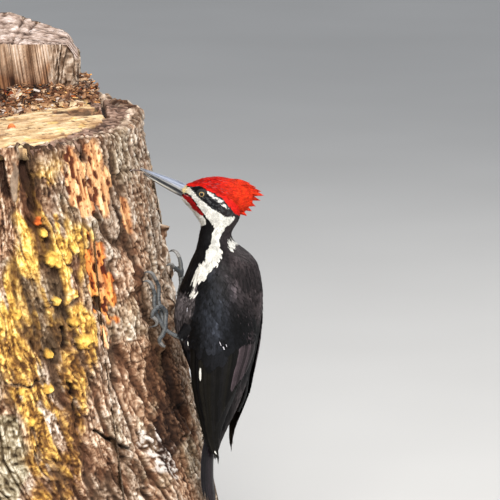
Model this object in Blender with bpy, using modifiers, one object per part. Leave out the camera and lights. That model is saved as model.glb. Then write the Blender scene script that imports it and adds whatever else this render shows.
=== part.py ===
"""A male pileated woodpecker clinging to a cut length of tree trunk, held up by a plain display stand.

Metres, +Z up. The origin is the middle of the stand's underside, and the trunk stands on the Z axis.
The bird clings to the +X side of the trunk: its belly faces -X, its back +X and its left side -Y.
Left and right in the names are the bird's own.
"""

import math

import bmesh
import bpy
from mathutils import Matrix, Vector

CLEARANCE = 0.0003  # the gap left between neighbouring solids
WELD = 0.000001  # points this close are one point

# Stand
BASE_RADIUS = 0.215
BASE_THICKNESS = 0.018
BASE_BEVEL = 0.003
ROD_RADIUS = 0.012
ROD_SPREAD = 0.080

# Trunk
TRUNK_FOOT = 0.060
TRUNK_TOP = 0.600
TRUNK_WAIST = 0.341  # the height at which the trunk measures WAIST_RADIUS
WAIST_RADIUS = 0.190
TAPER = 0.1686
FLARE = 0.1453
WORN_SIDE = 0.005  # how much flatter the side is that the bird clings to
TUCK = 0.005  # how much slimmer the trunk is at its top than its taper makes it
TUCK_FROM = 0.44
BARK_LUMPS = ((5, 1.1, 6.0, 0.0016), (9, -0.6, -9.0, 0.0012), (12, 2.0, 5.0, 0.0010))
SAW_HEIGHT = 0.5315
SAW_SLOPE = 0.078
FACING = math.radians(17)  # the saw cut slopes down towards this side, turned from -Y
SAW_STEP = 0.0015  # the cuts beside the slab lie this much higher than the one in front of it
SLAB_SETBACK = 0.055
SLAB_RIGHT = 0.081
SLAB_LEFT = -0.115
SLAB_LEAN = 0.010  # how far the slab's torn face leans back over its height
SLAB_TOP = 0.602  # the height of the slab's old top at its torn face
SLAB_RISE = 0.255  # how steeply that top rises away from the torn face
SLAB_TWIST = 2.95  # how much less it rises for each metre to the right
CORNER = (0.0648, 0.6080)  # across and height of a point on the slab's broken right shoulder
CORNER_TILT = math.radians(55)  # how steeply the shoulder falls to the right
CORNER_SIZE = 0.070  # of the block taken off there
CORNER_LENGTH = 8  # times as long as it is thick

# Flesh of the bird, from the tail base to the base of the bill: each row is one section, with its
# centre x and z, half depth (belly to back), half width, tilt of the back direction and head turn.
SECTIONS = (
    (0.2456, 0.2004, 0.0098, 0.0100, -13, 0),
    (0.2479, 0.2273, 0.0201, 0.0190, -11, 0),
    (0.2479, 0.2585, 0.0312, 0.0290, -6, 0),
    (0.2470, 0.2881, 0.0410, 0.0370, -3, 0),
    (0.2454, 0.3167, 0.0472, 0.0420, 0, 0),
    (0.2485, 0.3468, 0.0463, 0.0425, 1, 0),
    (0.2516, 0.3748, 0.0387, 0.0400, 2, 0),
    (0.2510, 0.3857, 0.0336, 0.0360, 2, 0),
    (0.2490, 0.3930, 0.0278, 0.0310, 2, 0),
    (0.2466, 0.3992, 0.0234, 0.0250, 1, 1),
    (0.2442, 0.4045, 0.0196, 0.0195, 0, 4),
    (0.2433, 0.4126, 0.0171, 0.0155, -2, 9),
    (0.2450, 0.4200, 0.0173, 0.0155, -5, 14),
    (0.2477, 0.4277, 0.0211, 0.0170, 5, 18),
    (0.2474, 0.4373, 0.0247, 0.0195, 18, 18),
    (0.2427, 0.4461, 0.0249, 0.0205, 31, 18),
    (0.2341, 0.4529, 0.0218, 0.0200, 46, 18),
    (0.2261, 0.4560, 0.0184, 0.0180, 56, 18),
    (0.2191, 0.4576, 0.0147, 0.0145, 62, 18),
    (0.2132, 0.4591, 0.0113, 0.0105, 65, 18),
    (0.2094, 0.4604, 0.0087, 0.0080, 65, 18),
)
NECK_START = 9.6  # section numbers at which the body ends and the neck ends
NECK_END = 13.0
HEAD_TURN = math.radians(18)
HEAD_PIVOT = 0.24395
FLESH_SIDES = 18

# Bill, in its own directions: forward from the base, up across it
BILL_BASE = (0.20955, 0.46065)
BILL_PITCH = math.radians(25)
BILL_UPPER_LENGTH = 0.0530
BILL_LOWER_LENGTH = 0.0474

# Eyes
EYE_CENTRE = (0.2288, 0.4592)
EYE_RADIUS = 0.0048
EYE_SIDE = 0.0147

# Folded wings: rows of height, then the middle x, half depth and half width of the shape that the
# wing wraps round, and its front and rear angle, which run from the belly to the back, in degrees.
WING_TOP = (
    (0.3880, 0.2500, 0.0340, 0.0360, 96, 104),
    (0.3824, 0.2505, 0.0362, 0.0385, 84, 116),
    (0.3737, 0.2515, 0.0395, 0.0425, 72, 126),
    (0.3408, 0.2478, 0.0478, 0.0470, 60, 150),
    (0.2969, 0.2456, 0.0466, 0.0458, 62, 168),
)
WING_LEVELS = {
    "left": WING_TOP
    + (
        (0.2618, 0.2444, 0.0404, 0.0412, 58, 160),
        (0.2344, 0.2442, 0.0360, 0.0370, 61, 146),
        (0.2150, 0.2425, 0.0275, 0.0325, 69, 144),
        (0.1971, 0.2405, 0.0205, 0.0280, 78, 143),
        (0.1763, 0.2430, 0.0170, 0.0250, 92, 138),
        (0.1708, 0.2480, 0.0100, 0.0250, 115, 127),
    ),
    "right": WING_TOP
    + (
        (0.2618, 0.2444, 0.0410, 0.0412, 58, 172),
        (0.2344, 0.2446, 0.0364, 0.0380, 66, 172),
        (0.2150, 0.2430, 0.0297, 0.0355, 92, 162),
        (0.1971, 0.2408, 0.0237, 0.0360, 112, 156),
        (0.1763, 0.2425, 0.0190, 0.0345, 110, 141),
        (0.1708, 0.2440, 0.0170, 0.0335, 119, 131),
    ),
}
SHOULDER = 0.3880
COVERTS_END = 0.2950
WING_TIP = 0.1708
COVERTS_THICKNESS = 0.0062
FLIGHT_THICKNESS = 0.0048
EDGE_THICKNESS = 0.0009
TIP_THICKNESS = 0.0016

# Tail
TAIL_ROOT = 0.2250
TAIL_TIP = 0.1050
TAIL_FEATHERS = 10
TAIL_THICKNESS = 0.0034
TAIL_ROOF = 0.0032  # how far the outer feathers lie below the middle ones
TAIL_POINT = 0.0065  # how far each feather's point passes the notch beside it
TAIL_LINE = (  # height, then x of the middle feathers
    (0.2250, 0.2470),
    (0.2000, 0.2432),
    (0.1700, 0.2388),
    (0.1380, 0.2380),
    (0.1200, 0.2398),
    (0.1050, 0.2412),
)
TAIL_WIDTHS = (  # share of the length, then half width
    (0.0, 0.0130),
    (0.3, 0.0160),
    (0.5, 0.0172),
    (0.7, 0.0190),
    (0.86, 0.0230),
    (1.0, 0.0200),
)

# Legs: joint places, then the toes as (angle round the trunk, height, distance off the bark)
LEGS = {
    "left": {
        "hip": (0.2370, -0.0300, 0.3230),
        "ankle": (0.2150, -0.0388, 0.3050),
        "joint": (-11.3, 0.3130, 0.0120),
    },
    "right": {
        "hip": (0.2370, 0.0300, 0.3600),
        "ankle": (0.2150, 0.0425, 0.3420),
        "joint": (13.0, 0.3555, 0.0110),
    },
}
TOES = {
    "left": (
        ((-10.0, 0.3300, 0.0080), (-9.1, 0.3425, 0.0060), (-7.8, 0.3560, 0.0065), (-9.8, 0.3655, 0.0068)),
        ((-12.3, 0.3270, 0.0062), (-12.2, 0.3400, 0.0050), (-11.4, 0.3500, 0.0055), (-12.4, 0.3580, 0.0060)),
        ((-10.1, 0.3315, 0.0140), (-12.8, 0.3385, 0.0125), (-16.3, 0.3350, 0.0100), (-16.0, 0.3290, 0.0066)),
        ((-12.6, 0.3070, 0.0095), (-13.2, 0.3030, 0.0062), (-12.8, 0.2995, 0.0050)),
    ),
    "right": (
        ((13.0, 0.3635, 0.0125), (14.0, 0.3705, 0.0125), (15.0, 0.3755, 0.0115)),
        ((12.0, 0.3615, 0.0110), (10.8, 0.3655, 0.0090), (9.8, 0.3685, 0.0065)),
        ((16.0, 0.3600, 0.0110), (18.6, 0.3615, 0.0095), (21.0, 0.3600, 0.0060)),
        ((12.2, 0.3480, 0.0105), (11.7, 0.3420, 0.0085), (11.4, 0.3370, 0.0055)),
    ),
}
CLAWS = {
    "left": (
        ((-9.8, 0.3655, 0.0068), (-11.8, 0.3730, 0.0066), (-13.6, 0.3755, 0.0040), (-14.4, 0.3735, 0.0008)),
        ((-12.4, 0.3580, 0.0060), (-13.8, 0.3645, 0.0058), (-15.2, 0.3665, 0.0036), (-16.0, 0.3650, 0.0008)),
        ((-16.0, 0.3290, 0.0066), (-14.2, 0.3235, 0.0078), (-14.2, 0.3185, 0.0060), (-16.6, 0.3170, 0.0010)),
        ((-12.8, 0.2995, 0.0050), (-11.4, 0.2945, 0.0058), (-8.8, 0.2925, 0.0036), (-6.8, 0.2920, 0.0008)),
    ),
    "right": (
        ((15.0, 0.3755, 0.0115), (15.4, 0.3810, 0.0092), (15.6, 0.3830, 0.0050), (15.6, 0.3815, 0.0008)),
        ((9.8, 0.3685, 0.0065), (8.9, 0.3715, 0.0060), (8.2, 0.3715, 0.0030), (8.1, 0.3700, 0.0008)),
        ((21.0, 0.3600, 0.0060), (22.6, 0.3590, 0.0056), (23.8, 0.3565, 0.0034), (24.2, 0.3545, 0.0008)),
        ((11.4, 0.3370, 0.0055), (11.1, 0.3315, 0.0056), (10.9, 0.3275, 0.0034), (10.9, 0.3260, 0.0008)),
    ),
}
THIGH_RADII = (0.0125, 0.0100, 0.0048)
ANKLE_RADIUS = 0.0027
TARSUS_RADIUS = 0.0022
TOE_RADIUS = 0.0021
TOE_END_RADIUS = 0.0016
CLAW_RADIUS = 0.0015

SURFACES = {  # colour, roughness
    "red_feather": ((0.62, 0.02, 0.01), 0.75),
    "black_feather": ((0.02, 0.02, 0.025), 0.60),
    "upper_bill": ((0.20, 0.23, 0.28), 0.35),
    "lower_bill": ((0.50, 0.48, 0.42), 0.40),
    "eye": ((0.75, 0.65, 0.25), 0.08),
    "scaly_skin": ((0.18, 0.20, 0.22), 0.55),
    "claw": ((0.35, 0.34, 0.32), 0.35),
    "bark": ((0.25, 0.18, 0.13), 0.95),
    "stand": ((0.16, 0.15, 0.14), 0.50),
}
SMOOTH_UNDER = math.radians(35)  # edges flatter than this are shaded smooth


def clear_scene():
    """Remove everything that the startup file holds."""
    for obj in list(bpy.data.objects):
        bpy.data.objects.remove(obj, do_unlink=True)


def collection(name):
    """The collection of that name, made the first time it is asked for."""
    found = bpy.data.collections.get(name)
    if found is None:
        found = bpy.data.collections.new(name)
        bpy.context.scene.collection.children.link(found)
    return found


def material(name):
    """One plain material per kind of surface, shared by the objects that name it."""
    found = bpy.data.materials.get(name)
    if found is None:
        colour, roughness = SURFACES[name]
        found = bpy.data.materials.new(name)
        found.use_nodes = True
        found.diffuse_color = (*colour, 1.0)
        shader = found.node_tree.nodes["Principled BSDF"]
        shader.inputs["Base Color"].default_value = (*colour, 1.0)
        shader.inputs["Roughness"].default_value = roughness
        shader.inputs["Metallic"].default_value = 0.0
    return found


def part(name, mesh, kind):
    """A finished piece: an object of this mesh in the bird's own collection."""
    obj = bpy.data.objects.new(name, mesh)
    collection("pileated_woodpecker").objects.link(obj)
    mesh.materials.clear()
    mesh.materials.append(material(kind))
    mesh.shade_smooth()
    mesh.set_sharp_from_angle(angle=SMOOTH_UNDER)
    return obj


def primitive(name, kind, make, **sizes):
    """A piece that starts as one of bmesh's own shapes."""
    mesh = bpy.data.meshes.new(name)
    shape = bmesh.new()
    make(shape, **sizes)
    shape.to_mesh(mesh)
    shape.free()
    return part(name, mesh, kind)


def solid(name, points, faces, kind):
    """A piece from points and faces, with its normals turned outwards."""
    mesh = bpy.data.meshes.new(name)
    mesh.from_pydata([tuple(p) for p in points], [], faces)
    if signed_volume(mesh) < 0:
        mesh.flip_normals()
    return part(name, mesh, kind)


def signed_volume(mesh):
    """Six times the volume that the mesh encloses, negative when it is inside out."""
    mesh.calc_loop_triangles()
    total = 0.0
    for triangle in mesh.loop_triangles:
        a, b, c = (mesh.vertices[i].co for i in triangle.vertices)
        total += a.dot(b.cross(c))
    return total


def skin_rings(name, rings, kind):
    """A closed solid over rings of equal length, with a fan of faces over each end."""
    count = len(rings[0])
    points = [p for ring in rings for p in ring]
    faces = []
    for i in range(len(rings) - 1):
        for j in range(count):
            k = (j + 1) % count
            faces.append((i * count + j, i * count + k, (i + 1) * count + k, (i + 1) * count + j))
    for ring, base, turn in ((rings[0], 0, 1), (rings[-1], (len(rings) - 1) * count, -1)):
        middle = len(points)
        points.append(sum((Vector(p) for p in ring), Vector()) / count)
        for j in range(count):
            k = (j + 1) % count
            faces.append((middle, base + k, base + j) if turn > 0 else (middle, base + j, base + k))
    return solid(name, points, faces, kind)


def blend(rows, place):
    """The row at a place between rows, on a smooth curve through them."""
    i = min(max(int(math.floor(place)), 0), len(rows) - 2)
    t = place - i
    a, b, c, d = (rows[min(max(i + n, 0), len(rows) - 1)] for n in (-1, 0, 1, 2))
    t2 = t * t
    t3 = t2 * t
    weights = (-t3 + 2 * t2 - t, 3 * t3 - 5 * t2 + 2, -3 * t3 + 4 * t2 + t, t3 - t2)
    return [0.5 * sum(w * row[n] for w, row in zip(weights, (a, b, c, d))) for n in range(len(b))]


def place_of(rows, value):
    """Where a value of the first column falls among rows sorted by it, up or down."""
    rising = rows[-1][0] > rows[0][0]
    for i in range(len(rows) - 1):
        low, high = rows[i][0], rows[i + 1][0]
        if (value <= high) if rising else (value >= high):
            return i + (value - low) / (high - low)
    return len(rows) - 1.0


def tube(name, path, radii, kind, resolution=1, steps=2):
    """A round, tapering piece along a smooth path: a bevelled curve, made a mesh."""
    curve = bpy.data.curves.new(name, "CURVE")
    curve.dimensions = "3D"
    curve.bevel_depth = 1.0
    curve.bevel_resolution = resolution
    curve.use_fill_caps = True
    spline = curve.splines.new("POLY")
    count = (len(path) - 1) * steps + 1
    spline.points.add(count - 1)
    rows = [(*point, radius) for point, radius in zip(path, radii)]
    for i in range(count):
        x, y, z, radius = blend(rows, i / steps)
        spline.points[i].co = (x, y, z, 1.0)
        spline.points[i].radius = radius
    guide = bpy.data.objects.new(name + "_curve", curve)
    collection("cutters").objects.link(guide)
    bpy.context.view_layer.update()
    graph = bpy.context.evaluated_depsgraph_get()
    mesh = bpy.data.meshes.new_from_object(guide.evaluated_get(graph))
    bpy.data.objects.remove(guide, do_unlink=True)
    shape = bmesh.new()
    shape.from_mesh(mesh)
    bmesh.ops.remove_doubles(shape, verts=shape.verts, dist=WELD)
    bmesh.ops.recalc_face_normals(shape, faces=shape.faces)
    shape.to_mesh(mesh)
    shape.free()
    return part(name, mesh, kind)


def evaluated(obj):
    """Replace the object's mesh with the result of its modifiers."""
    bpy.context.view_layer.update()
    graph = bpy.context.evaluated_depsgraph_get()
    mesh = bpy.data.meshes.new_from_object(obj.evaluated_get(graph))
    mesh.set_sharp_from_angle(angle=SMOOTH_UNDER)
    obj.modifiers.clear()
    obj.data = mesh


def combine(obj, other, operation):
    """Join another solid to the object, or cut it away, and use the other solid up."""
    boolean = obj.modifiers.new(operation.lower(), "BOOLEAN")
    boolean.solver = "EXACT"
    boolean.use_self = operation == "UNION"
    boolean.operation = operation
    boolean.object = other
    evaluated(obj)
    bpy.data.objects.remove(other, do_unlink=True)


def clearance_mesh(obj, distance=CLEARANCE):
    """The object's mesh, grown all round by a distance, to cut its neighbours with."""
    mesh = obj.data.copy()
    normals = [v.normal.copy() for v in mesh.vertices]
    for vertex, normal in zip(mesh.vertices, normals):
        vertex.co = vertex.co + normal * distance
    return mesh


def keep_largest(obj):
    """Drop the slivers that a cut leaves beside the main body."""
    mesh = obj.data
    parent = list(range(len(mesh.vertices)))

    def root(i):
        while parent[i] != i:
            parent[i] = parent[parent[i]]
            i = parent[i]
        return i

    for edge in mesh.edges:
        parent[root(edge.vertices[0])] = root(edge.vertices[1])
    groups = {}
    for i in range(len(mesh.vertices)):
        groups.setdefault(root(i), []).append(i)
    if len(groups) == 1:
        return
    biggest = max(groups.values(), key=len)
    renumbered = {old: new for new, old in enumerate(biggest)}
    points = [mesh.vertices[i].co.copy() for i in biggest]
    faces = [
        tuple(renumbered[i] for i in face.vertices)
        for face in mesh.polygons
        if face.vertices[0] in renumbered
    ]
    kept = bpy.data.meshes.new(mesh.name)
    kept.from_pydata(points, [], faces)
    for used in mesh.materials:
        kept.materials.append(used)
    obj.data = kept


def cut_by(obj, cutters):
    """Cut the object back so that it clears its neighbours, and keep its main body."""
    for mesh in cutters:
        cutter = bpy.data.objects.new("cutter", mesh)
        collection("cutters").objects.link(cutter)
        combine(obj, cutter, "DIFFERENCE")
    keep_largest(obj)


# ------------------------------------------------------------------------------- trunk and stand


def trunk_radius(turn, height):
    """How far the bark is from the trunk's axis, at an angle round it and a height."""
    drop = TRUNK_WAIST - height
    radius = WAIST_RADIUS + TAPER * drop + FLARE * drop * drop
    near_bird = math.exp(-((math.degrees(math.atan2(math.sin(turn), math.cos(turn))) / 26) ** 2))
    low = min(max((height - 0.09) / 0.06, 0.0), 1.0)
    radius -= WORN_SIDE * near_bird * low
    radius -= TUCK * min(max((height - TUCK_FROM) / 0.05, 0.0), 1.0)
    for count, phase, rise, size in BARK_LUMPS:
        calm = 1 - 0.6 * near_bird
        radius += size * calm * math.cos(count * turn + phase + rise * height)
    return radius


def on_bark(degrees, height, off):
    """A point a given distance off the bark."""
    turn = math.radians(degrees)
    radius = trunk_radius(turn, height) + off
    return (radius * math.cos(turn), radius * math.sin(turn), height)


def slab_top(x, y):
    """The height of the trunk's old, weathered top, of which only the slab keeps a part."""
    across = x * math.cos(FACING) + y * math.sin(FACING)
    along = y * math.cos(FACING) - x * math.sin(FACING)
    return SLAB_TOP + (along - SLAB_SETBACK) * (SLAB_RISE - SLAB_TWIST * max(across, 0.0))


def trunk_column():
    """The round trunk, from its foot up to its old top, before it is sawn."""
    around, levels = 60, 11
    rings = []
    for i in range(levels):
        height = TRUNK_FOOT + (TRUNK_TOP - TRUNK_FOOT) * i / levels
        ring = []
        for j in range(around):
            turn = 2 * math.pi * j / around
            radius = trunk_radius(turn, height)
            ring.append((radius * math.cos(turn), radius * math.sin(turn), height))
        rings.append(ring)
    for share in (1.0, 0.9, 0.45):
        ring = []
        for j in range(around):
            turn = 2 * math.pi * j / around
            radius = trunk_radius(turn, TRUNK_TOP) * share
            x, y = radius * math.cos(turn), radius * math.sin(turn)
            ring.append((x, y, slab_top(x, y)))
        rings.append(ring)
    return skin_rings("perch_trunk", rings, "bark")


def saw(trunk, near, far, left, right, lift=0.0):
    """Take out a block of wood that stands on the sloping cut, or a little above it.

    Its sides are distances from the axis: near and far from the low side of the cut to the high
    one, left and right across that.
    """
    block = primitive("saw", "bark", bmesh.ops.create_cube, size=1.0)
    tall = 0.2
    block.data.transform(Matrix.Diagonal((right - left, far - near, tall, 1.0)))
    for vertex in block.data.vertices:
        if vertex.co.z > 0 and vertex.co.y > 0:
            vertex.co.y += SLAB_LEAN
    block.data.transform(Matrix.Translation(((left + right) / 2, (near + far) / 2, tall / 2)))
    for vertex in block.data.vertices:
        vertex.co.z += SAW_HEIGHT + SAW_SLOPE * vertex.co.y + lift
    block.data.transform(Matrix.Rotation(FACING, 4, "Z"))
    combine(trunk, block, "DIFFERENCE")


def break_corner(trunk):
    """Take the sharp right shoulder off the slab."""
    block = primitive("corner", "bark", bmesh.ops.create_cube, size=CORNER_SIZE)
    block.data.transform(Matrix.Scale(CORNER_LENGTH, 4, Vector((0, 1, 0))))
    block.data.transform(Matrix.Translation((0, 0, CORNER_SIZE / 2)))
    block.data.transform(Matrix.Rotation(CORNER_TILT, 4, "Y"))
    block.data.transform(Matrix.Translation((CORNER[0], 0, CORNER[1])))
    block.data.transform(Matrix.Rotation(FACING, 4, "Z"))
    combine(trunk, block, "DIFFERENCE")


def build_trunk():
    trunk = trunk_column()
    beyond = 0.30
    saw(trunk, SLAB_SETBACK / 2, beyond, SLAB_RIGHT, beyond, SAW_STEP)
    saw(trunk, SLAB_SETBACK / 2, beyond, -beyond, SLAB_LEFT, SAW_STEP)
    saw(trunk, -beyond, SLAB_SETBACK, -beyond, beyond)
    break_corner(trunk)
    keep_largest(trunk)


def build_stand():
    base = primitive(
        "stand_base",
        "stand",
        bmesh.ops.create_cone,
        cap_ends=True,
        segments=32,
        radius1=BASE_RADIUS,
        radius2=BASE_RADIUS,
        depth=BASE_THICKNESS,
    )
    base.location.z = BASE_THICKNESS / 2
    bevel = base.modifiers.new("rounded_rims", "BEVEL")
    bevel.width = BASE_BEVEL
    bevel.segments = 2
    bevel.limit_method = "ANGLE"
    length = TRUNK_FOOT - BASE_THICKNESS - 2 * CLEARANCE
    for number, x in ((1, -ROD_SPREAD), (2, ROD_SPREAD)):
        rod = primitive(
            f"stand_rod_{number}",
            "stand",
            bmesh.ops.create_cone,
            cap_ends=True,
            segments=24,
            radius1=ROD_RADIUS,
            radius2=ROD_RADIUS,
            depth=length,
        )
        rod.location = (x, 0.0, BASE_THICKNESS + CLEARANCE + length / 2)


# --------------------------------------------------------------------------------- flesh and head


def turned(x, y, z, turn=HEAD_TURN):
    """A point of the head, drawn looking straight along -X, turned to where the bird looks."""
    dx = x - HEAD_PIVOT
    return (
        HEAD_PIVOT + dx * math.cos(turn) - y * math.sin(turn),
        dx * math.sin(turn) + y * math.cos(turn),
        z,
    )


def flesh_ring(place, shift=0.0):
    """One section of the flesh, moved along the bird by a small shift."""
    x, z, depth, width, tilt, turn = blend(SECTIONS, place)
    tilt = math.radians(tilt)
    turn = math.radians(turn)
    x -= shift * math.sin(tilt)
    z += shift * math.cos(tilt)
    ring = []
    for i in range(FLESH_SIDES):
        angle = 2 * math.pi * i / FLESH_SIDES
        reach = depth * math.cos(angle)
        side = width * math.sin(angle)
        ring.append(turned(x + reach * math.cos(tilt), side, z + reach * math.sin(tilt), turn))
    return ring


def flesh(name, start, end, steps, lead=0.0):
    """The flesh between two section numbers."""
    rings = [flesh_ring(start + (end - start) * i / steps, lead if i == 0 else 0.0) for i in range(steps + 1)]
    return skin_rings(name, rings, "black_feather")


def eyeball(name, centre, radius):
    ball = primitive(name, "eye", bmesh.ops.create_uvsphere, u_segments=12, v_segments=7, radius=radius)
    ball.location = centre
    return ball


def build_flesh():
    body = flesh("body", 0.0, NECK_START, 14)
    neck = flesh("neck", NECK_START, NECK_END, 6, CLEARANCE * 1.5)
    head = flesh("head", NECK_END, len(SECTIONS) - 1.0, 12, CLEARANCE * 1.5)
    for side, sign in (("left", -1), ("right", 1)):
        centre = turned(EYE_CENTRE[0], sign * EYE_SIDE, EYE_CENTRE[1])
        combine(head, eyeball("socket", centre, EYE_RADIUS + CLEARANCE), "DIFFERENCE")
        eyeball(f"eye_{side}", centre, EYE_RADIUS)
    keep_largest(head)
    return body, neck, head


def bill_point(forward, side, up):
    """A point of the bill, from its own directions."""
    x = BILL_BASE[0] - forward * math.cos(BILL_PITCH) + up * math.sin(BILL_PITCH)
    z = BILL_BASE[1] + forward * math.sin(BILL_PITCH) + up * math.cos(BILL_PITCH)
    return turned(x, side, z)


UPPER_BILL = (  # forward, half width, cutting edge, ridge
    (0.0006, 0.0082, -0.0030, 0.0080),
    (0.0120, 0.0066, -0.0022, 0.0072),
    (0.0260, 0.0046, -0.0012, 0.0059),
    (0.0420, 0.0030, 0.0000, 0.0042),
    (0.0500, 0.0020, 0.0006, 0.0032),
    (BILL_UPPER_LENGTH, 0.0012, 0.0010, 0.0026),
)
LOWER_BILL = (  # forward, half width, cutting edge, keel
    (0.0006, 0.0076, -0.0034, -0.0076),
    (0.0120, 0.0060, -0.0028, -0.0070),
    (0.0260, 0.0041, -0.0022, -0.0056),
    (0.0390, 0.0026, -0.0013, -0.0040),
    (0.0450, 0.0017, -0.0009, -0.0030),
    (BILL_LOWER_LENGTH, 0.0010, -0.0008, -0.0024),
)
BILL_SIDE = ((1.0, 0.0), (1.0, 0.22), (0.72, 0.62), (0.36, 0.90))  # across and up, of one side


def build_mandible(name, rows, kind):
    """One half of the bill, from its rows of sections."""
    shape = [*BILL_SIDE, (0.0, 1.0), *[(-a, b) for a, b in reversed(BILL_SIDE)]]
    rings = []
    for i in range(len(rows) * 2 - 1):
        forward, width, edge, ridge = blend(rows, i / 2)
        rings.append([bill_point(forward, a * width, edge + b * (ridge - edge)) for a, b in shape])
    skin_rings(name, rings, kind)


def build_bill():
    build_mandible("bill_upper", UPPER_BILL, "upper_bill")
    build_mandible("bill_lower", LOWER_BILL, "lower_bill")


CREST = (  # x, top, bottom and half width, from the forehead back
    (0.2150, 0.4686, 0.4650, 0.0035),
    (0.2225, 0.4716, 0.4610, 0.0085),
    (0.2330, 0.4744, 0.4560, 0.0135),
    (0.2450, 0.4753, 0.4500, 0.0165),
    (0.2570, 0.4737, 0.4430, 0.0160),
    (0.2660, 0.4712, 0.4380, 0.0125),
    (0.2740, 0.4674, 0.4370, 0.0080),
    (0.2805, 0.4630, 0.4440, 0.0040),
)
CREST_LOCKS = (  # x and z of the root, then of the tip, and half thickness at the root
    (0.2520, 0.4670, 0.2800, 0.4680, 0.0046),
    (0.2560, 0.4650, 0.2868, 0.4638, 0.0050),
    (0.2580, 0.4620, 0.2915, 0.4592, 0.0052),
    (0.2600, 0.4590, 0.2948, 0.4552, 0.0054),
    (0.2600, 0.4550, 0.2905, 0.4495, 0.0054),
    (0.2600, 0.4500, 0.2862, 0.4436, 0.0052),
    (0.2590, 0.4460, 0.2822, 0.4378, 0.0050),
    (0.2580, 0.4420, 0.2768, 0.4332, 0.0046),
)


def build_crest(head):
    rings = []
    for x, top, bottom, width in CREST:
        middle, half = (top + bottom) / 2, (top - bottom) / 2
        ring = []
        for j in range(14):
            angle = 2 * math.pi * j / 14
            ring.append(turned(x, width * math.sin(angle), middle + half * math.cos(angle)))
        rings.append(ring)
    crest = skin_rings("crest", rings, "red_feather")
    for number, (x, z, tip_x, tip_z, half) in enumerate(CREST_LOCKS):
        lean = 0.0012 * (-1) ** number
        path = []
        radii = []
        for share, size in ((0.0, 0.7), (0.3, 1.0), (0.65, 0.75), (1.0, 0.10)):
            drop = 0.0016 * math.sin(math.pi * share)
            path.append(turned(x + (tip_x - x) * share, lean * share, z + (tip_z - z) * share + drop))
            radii.append(half * size)
        combine(crest, tube("lock", path, radii, "red_feather"), "UNION")
    cut_by(crest, [clearance_mesh(head)])


# ------------------------------------------------------------------------------- wings and tail


def build_wing_part(name, side, top, bottom, steps, thickness):
    """A patch of the shape that the wings wrap round, as thick as the feathers on it."""
    rows = WING_LEVELS[side]
    sign = -1 if side == "left" else 1
    across = 10
    outer, inner = [], []
    for i in range(steps + 1):
        level = top + (bottom - top) * i / steps
        height, middle, depth, width, front, rear = blend(rows, place_of(rows, level))
        for j in range(across + 1):
            share = j / across
            angle = math.radians(front + (rear - front) * share)
            thick = EDGE_THICKNESS + (thickness - EDGE_THICKNESS) * math.sin(math.pi * share) ** 0.6
            if i == steps:
                thick = min(thick, TIP_THICKNESS)
            for points, inset in ((outer, 0.0), (inner, thick)):
                x = middle - (depth - inset) * math.cos(angle)
                y = sign * (width - inset) * math.sin(angle)
                points.append((x, y, height))
    return plate(name, outer, inner, steps, across, "black_feather")


def plate(name, outer, inner, steps, across, kind):
    """A closed solid between two grids of the same size."""
    wide = across + 1
    base = len(outer)
    faces = []
    for i in range(steps):
        for j in range(across):
            a, b, c, d = i * wide + j, i * wide + j + 1, (i + 1) * wide + j + 1, (i + 1) * wide + j
            faces.append((a, b, c, d))
            faces.append((base + d, base + c, base + b, base + a))
    rim = [j for j in range(across)] + [i * wide + across for i in range(steps)]
    rim += [steps * wide + j for j in range(across, 0, -1)] + [i * wide for i in range(steps, 0, -1)]
    for k, a in enumerate(rim):
        b = rim[(k + 1) % len(rim)]
        faces.append((b, a, base + a, base + b))
    return solid(name, outer + inner, faces, kind)


def build_wings(body_cutter):
    """The coverts and the flight feathers of both wings. It returns what clears each side's."""
    cutters = {}
    for side in ("left", "right"):
        wing = build_wing_part(f"wing_{side}", side, SHOULDER, COVERTS_END, 6, COVERTS_THICKNESS)
        start = COVERTS_END - 2 * CLEARANCE
        flight = build_wing_part(f"flight_{side}", side, start, WING_TIP, 9, FLIGHT_THICKNESS)
        cutters[side] = [clearance_mesh(piece, 2 * CLEARANCE) for piece in (wing, flight)]
        cut_by(wing, [body_cutter])
        cut_by(flight, [body_cutter])
    return cutters


def build_tail(cutters):
    across, steps = 2 * TAIL_FEATHERS, 5
    length = TAIL_ROOT - TAIL_TIP
    outer, inner = [], []
    for i in range(steps + 1):
        for j in range(across + 1):
            side = 2 * j / across - 1
            point = 0.0 if j % 2 else TAIL_POINT
            reach = 1 - 0.20 * abs(side) ** 1.5 - point / length
            share = i / steps * reach
            height = TAIL_ROOT - length * share
            _, middle = blend(TAIL_LINE, place_of(TAIL_LINE, height))
            _, width = blend(TAIL_WIDTHS, place_of(TAIL_WIDTHS, share))
            roof = TAIL_ROOF * side * side
            thick = TAIL_THICKNESS * (1 - 0.45 * share) * (1 - 0.35 * abs(side))
            y = width * side
            outer.append((middle + thick / 2 - roof, y, height))
            inner.append((middle - thick / 2 - roof, y, height))
    tail = plate("tail", outer, inner, steps, across, "black_feather")
    cut_by(tail, cutters)


# ------------------------------------------------------------------------------------------ legs


def build_foot(side, joint):
    """The four toes, joined in one foot, with a claw on each. It returns what clears the toes."""
    foot = None
    cutters = []
    for number, toe in enumerate(TOES[side]):
        points = [Vector(on_bark(*place)) for place in toe]
        path = [joint.lerp(points[0], -0.06), joint.lerp(points[0], 0.5), *points]
        ends = len(toe) - 1
        radii = [TOE_RADIUS * 1.15, TOE_RADIUS * 1.05]
        radii += [TOE_RADIUS + (TOE_END_RADIUS - TOE_RADIUS) * n / ends for n in range(len(toe))]
        digit = tube(f"toe_{side}", path, radii, "scaly_skin")
        cutters.append(clearance_mesh(digit))
        build_claw(side, number, cutters[-1])
        if foot is None:
            foot = digit
        else:
            combine(foot, digit, "UNION")
    foot.name = f"foot_{side}"
    return cutters


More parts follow.
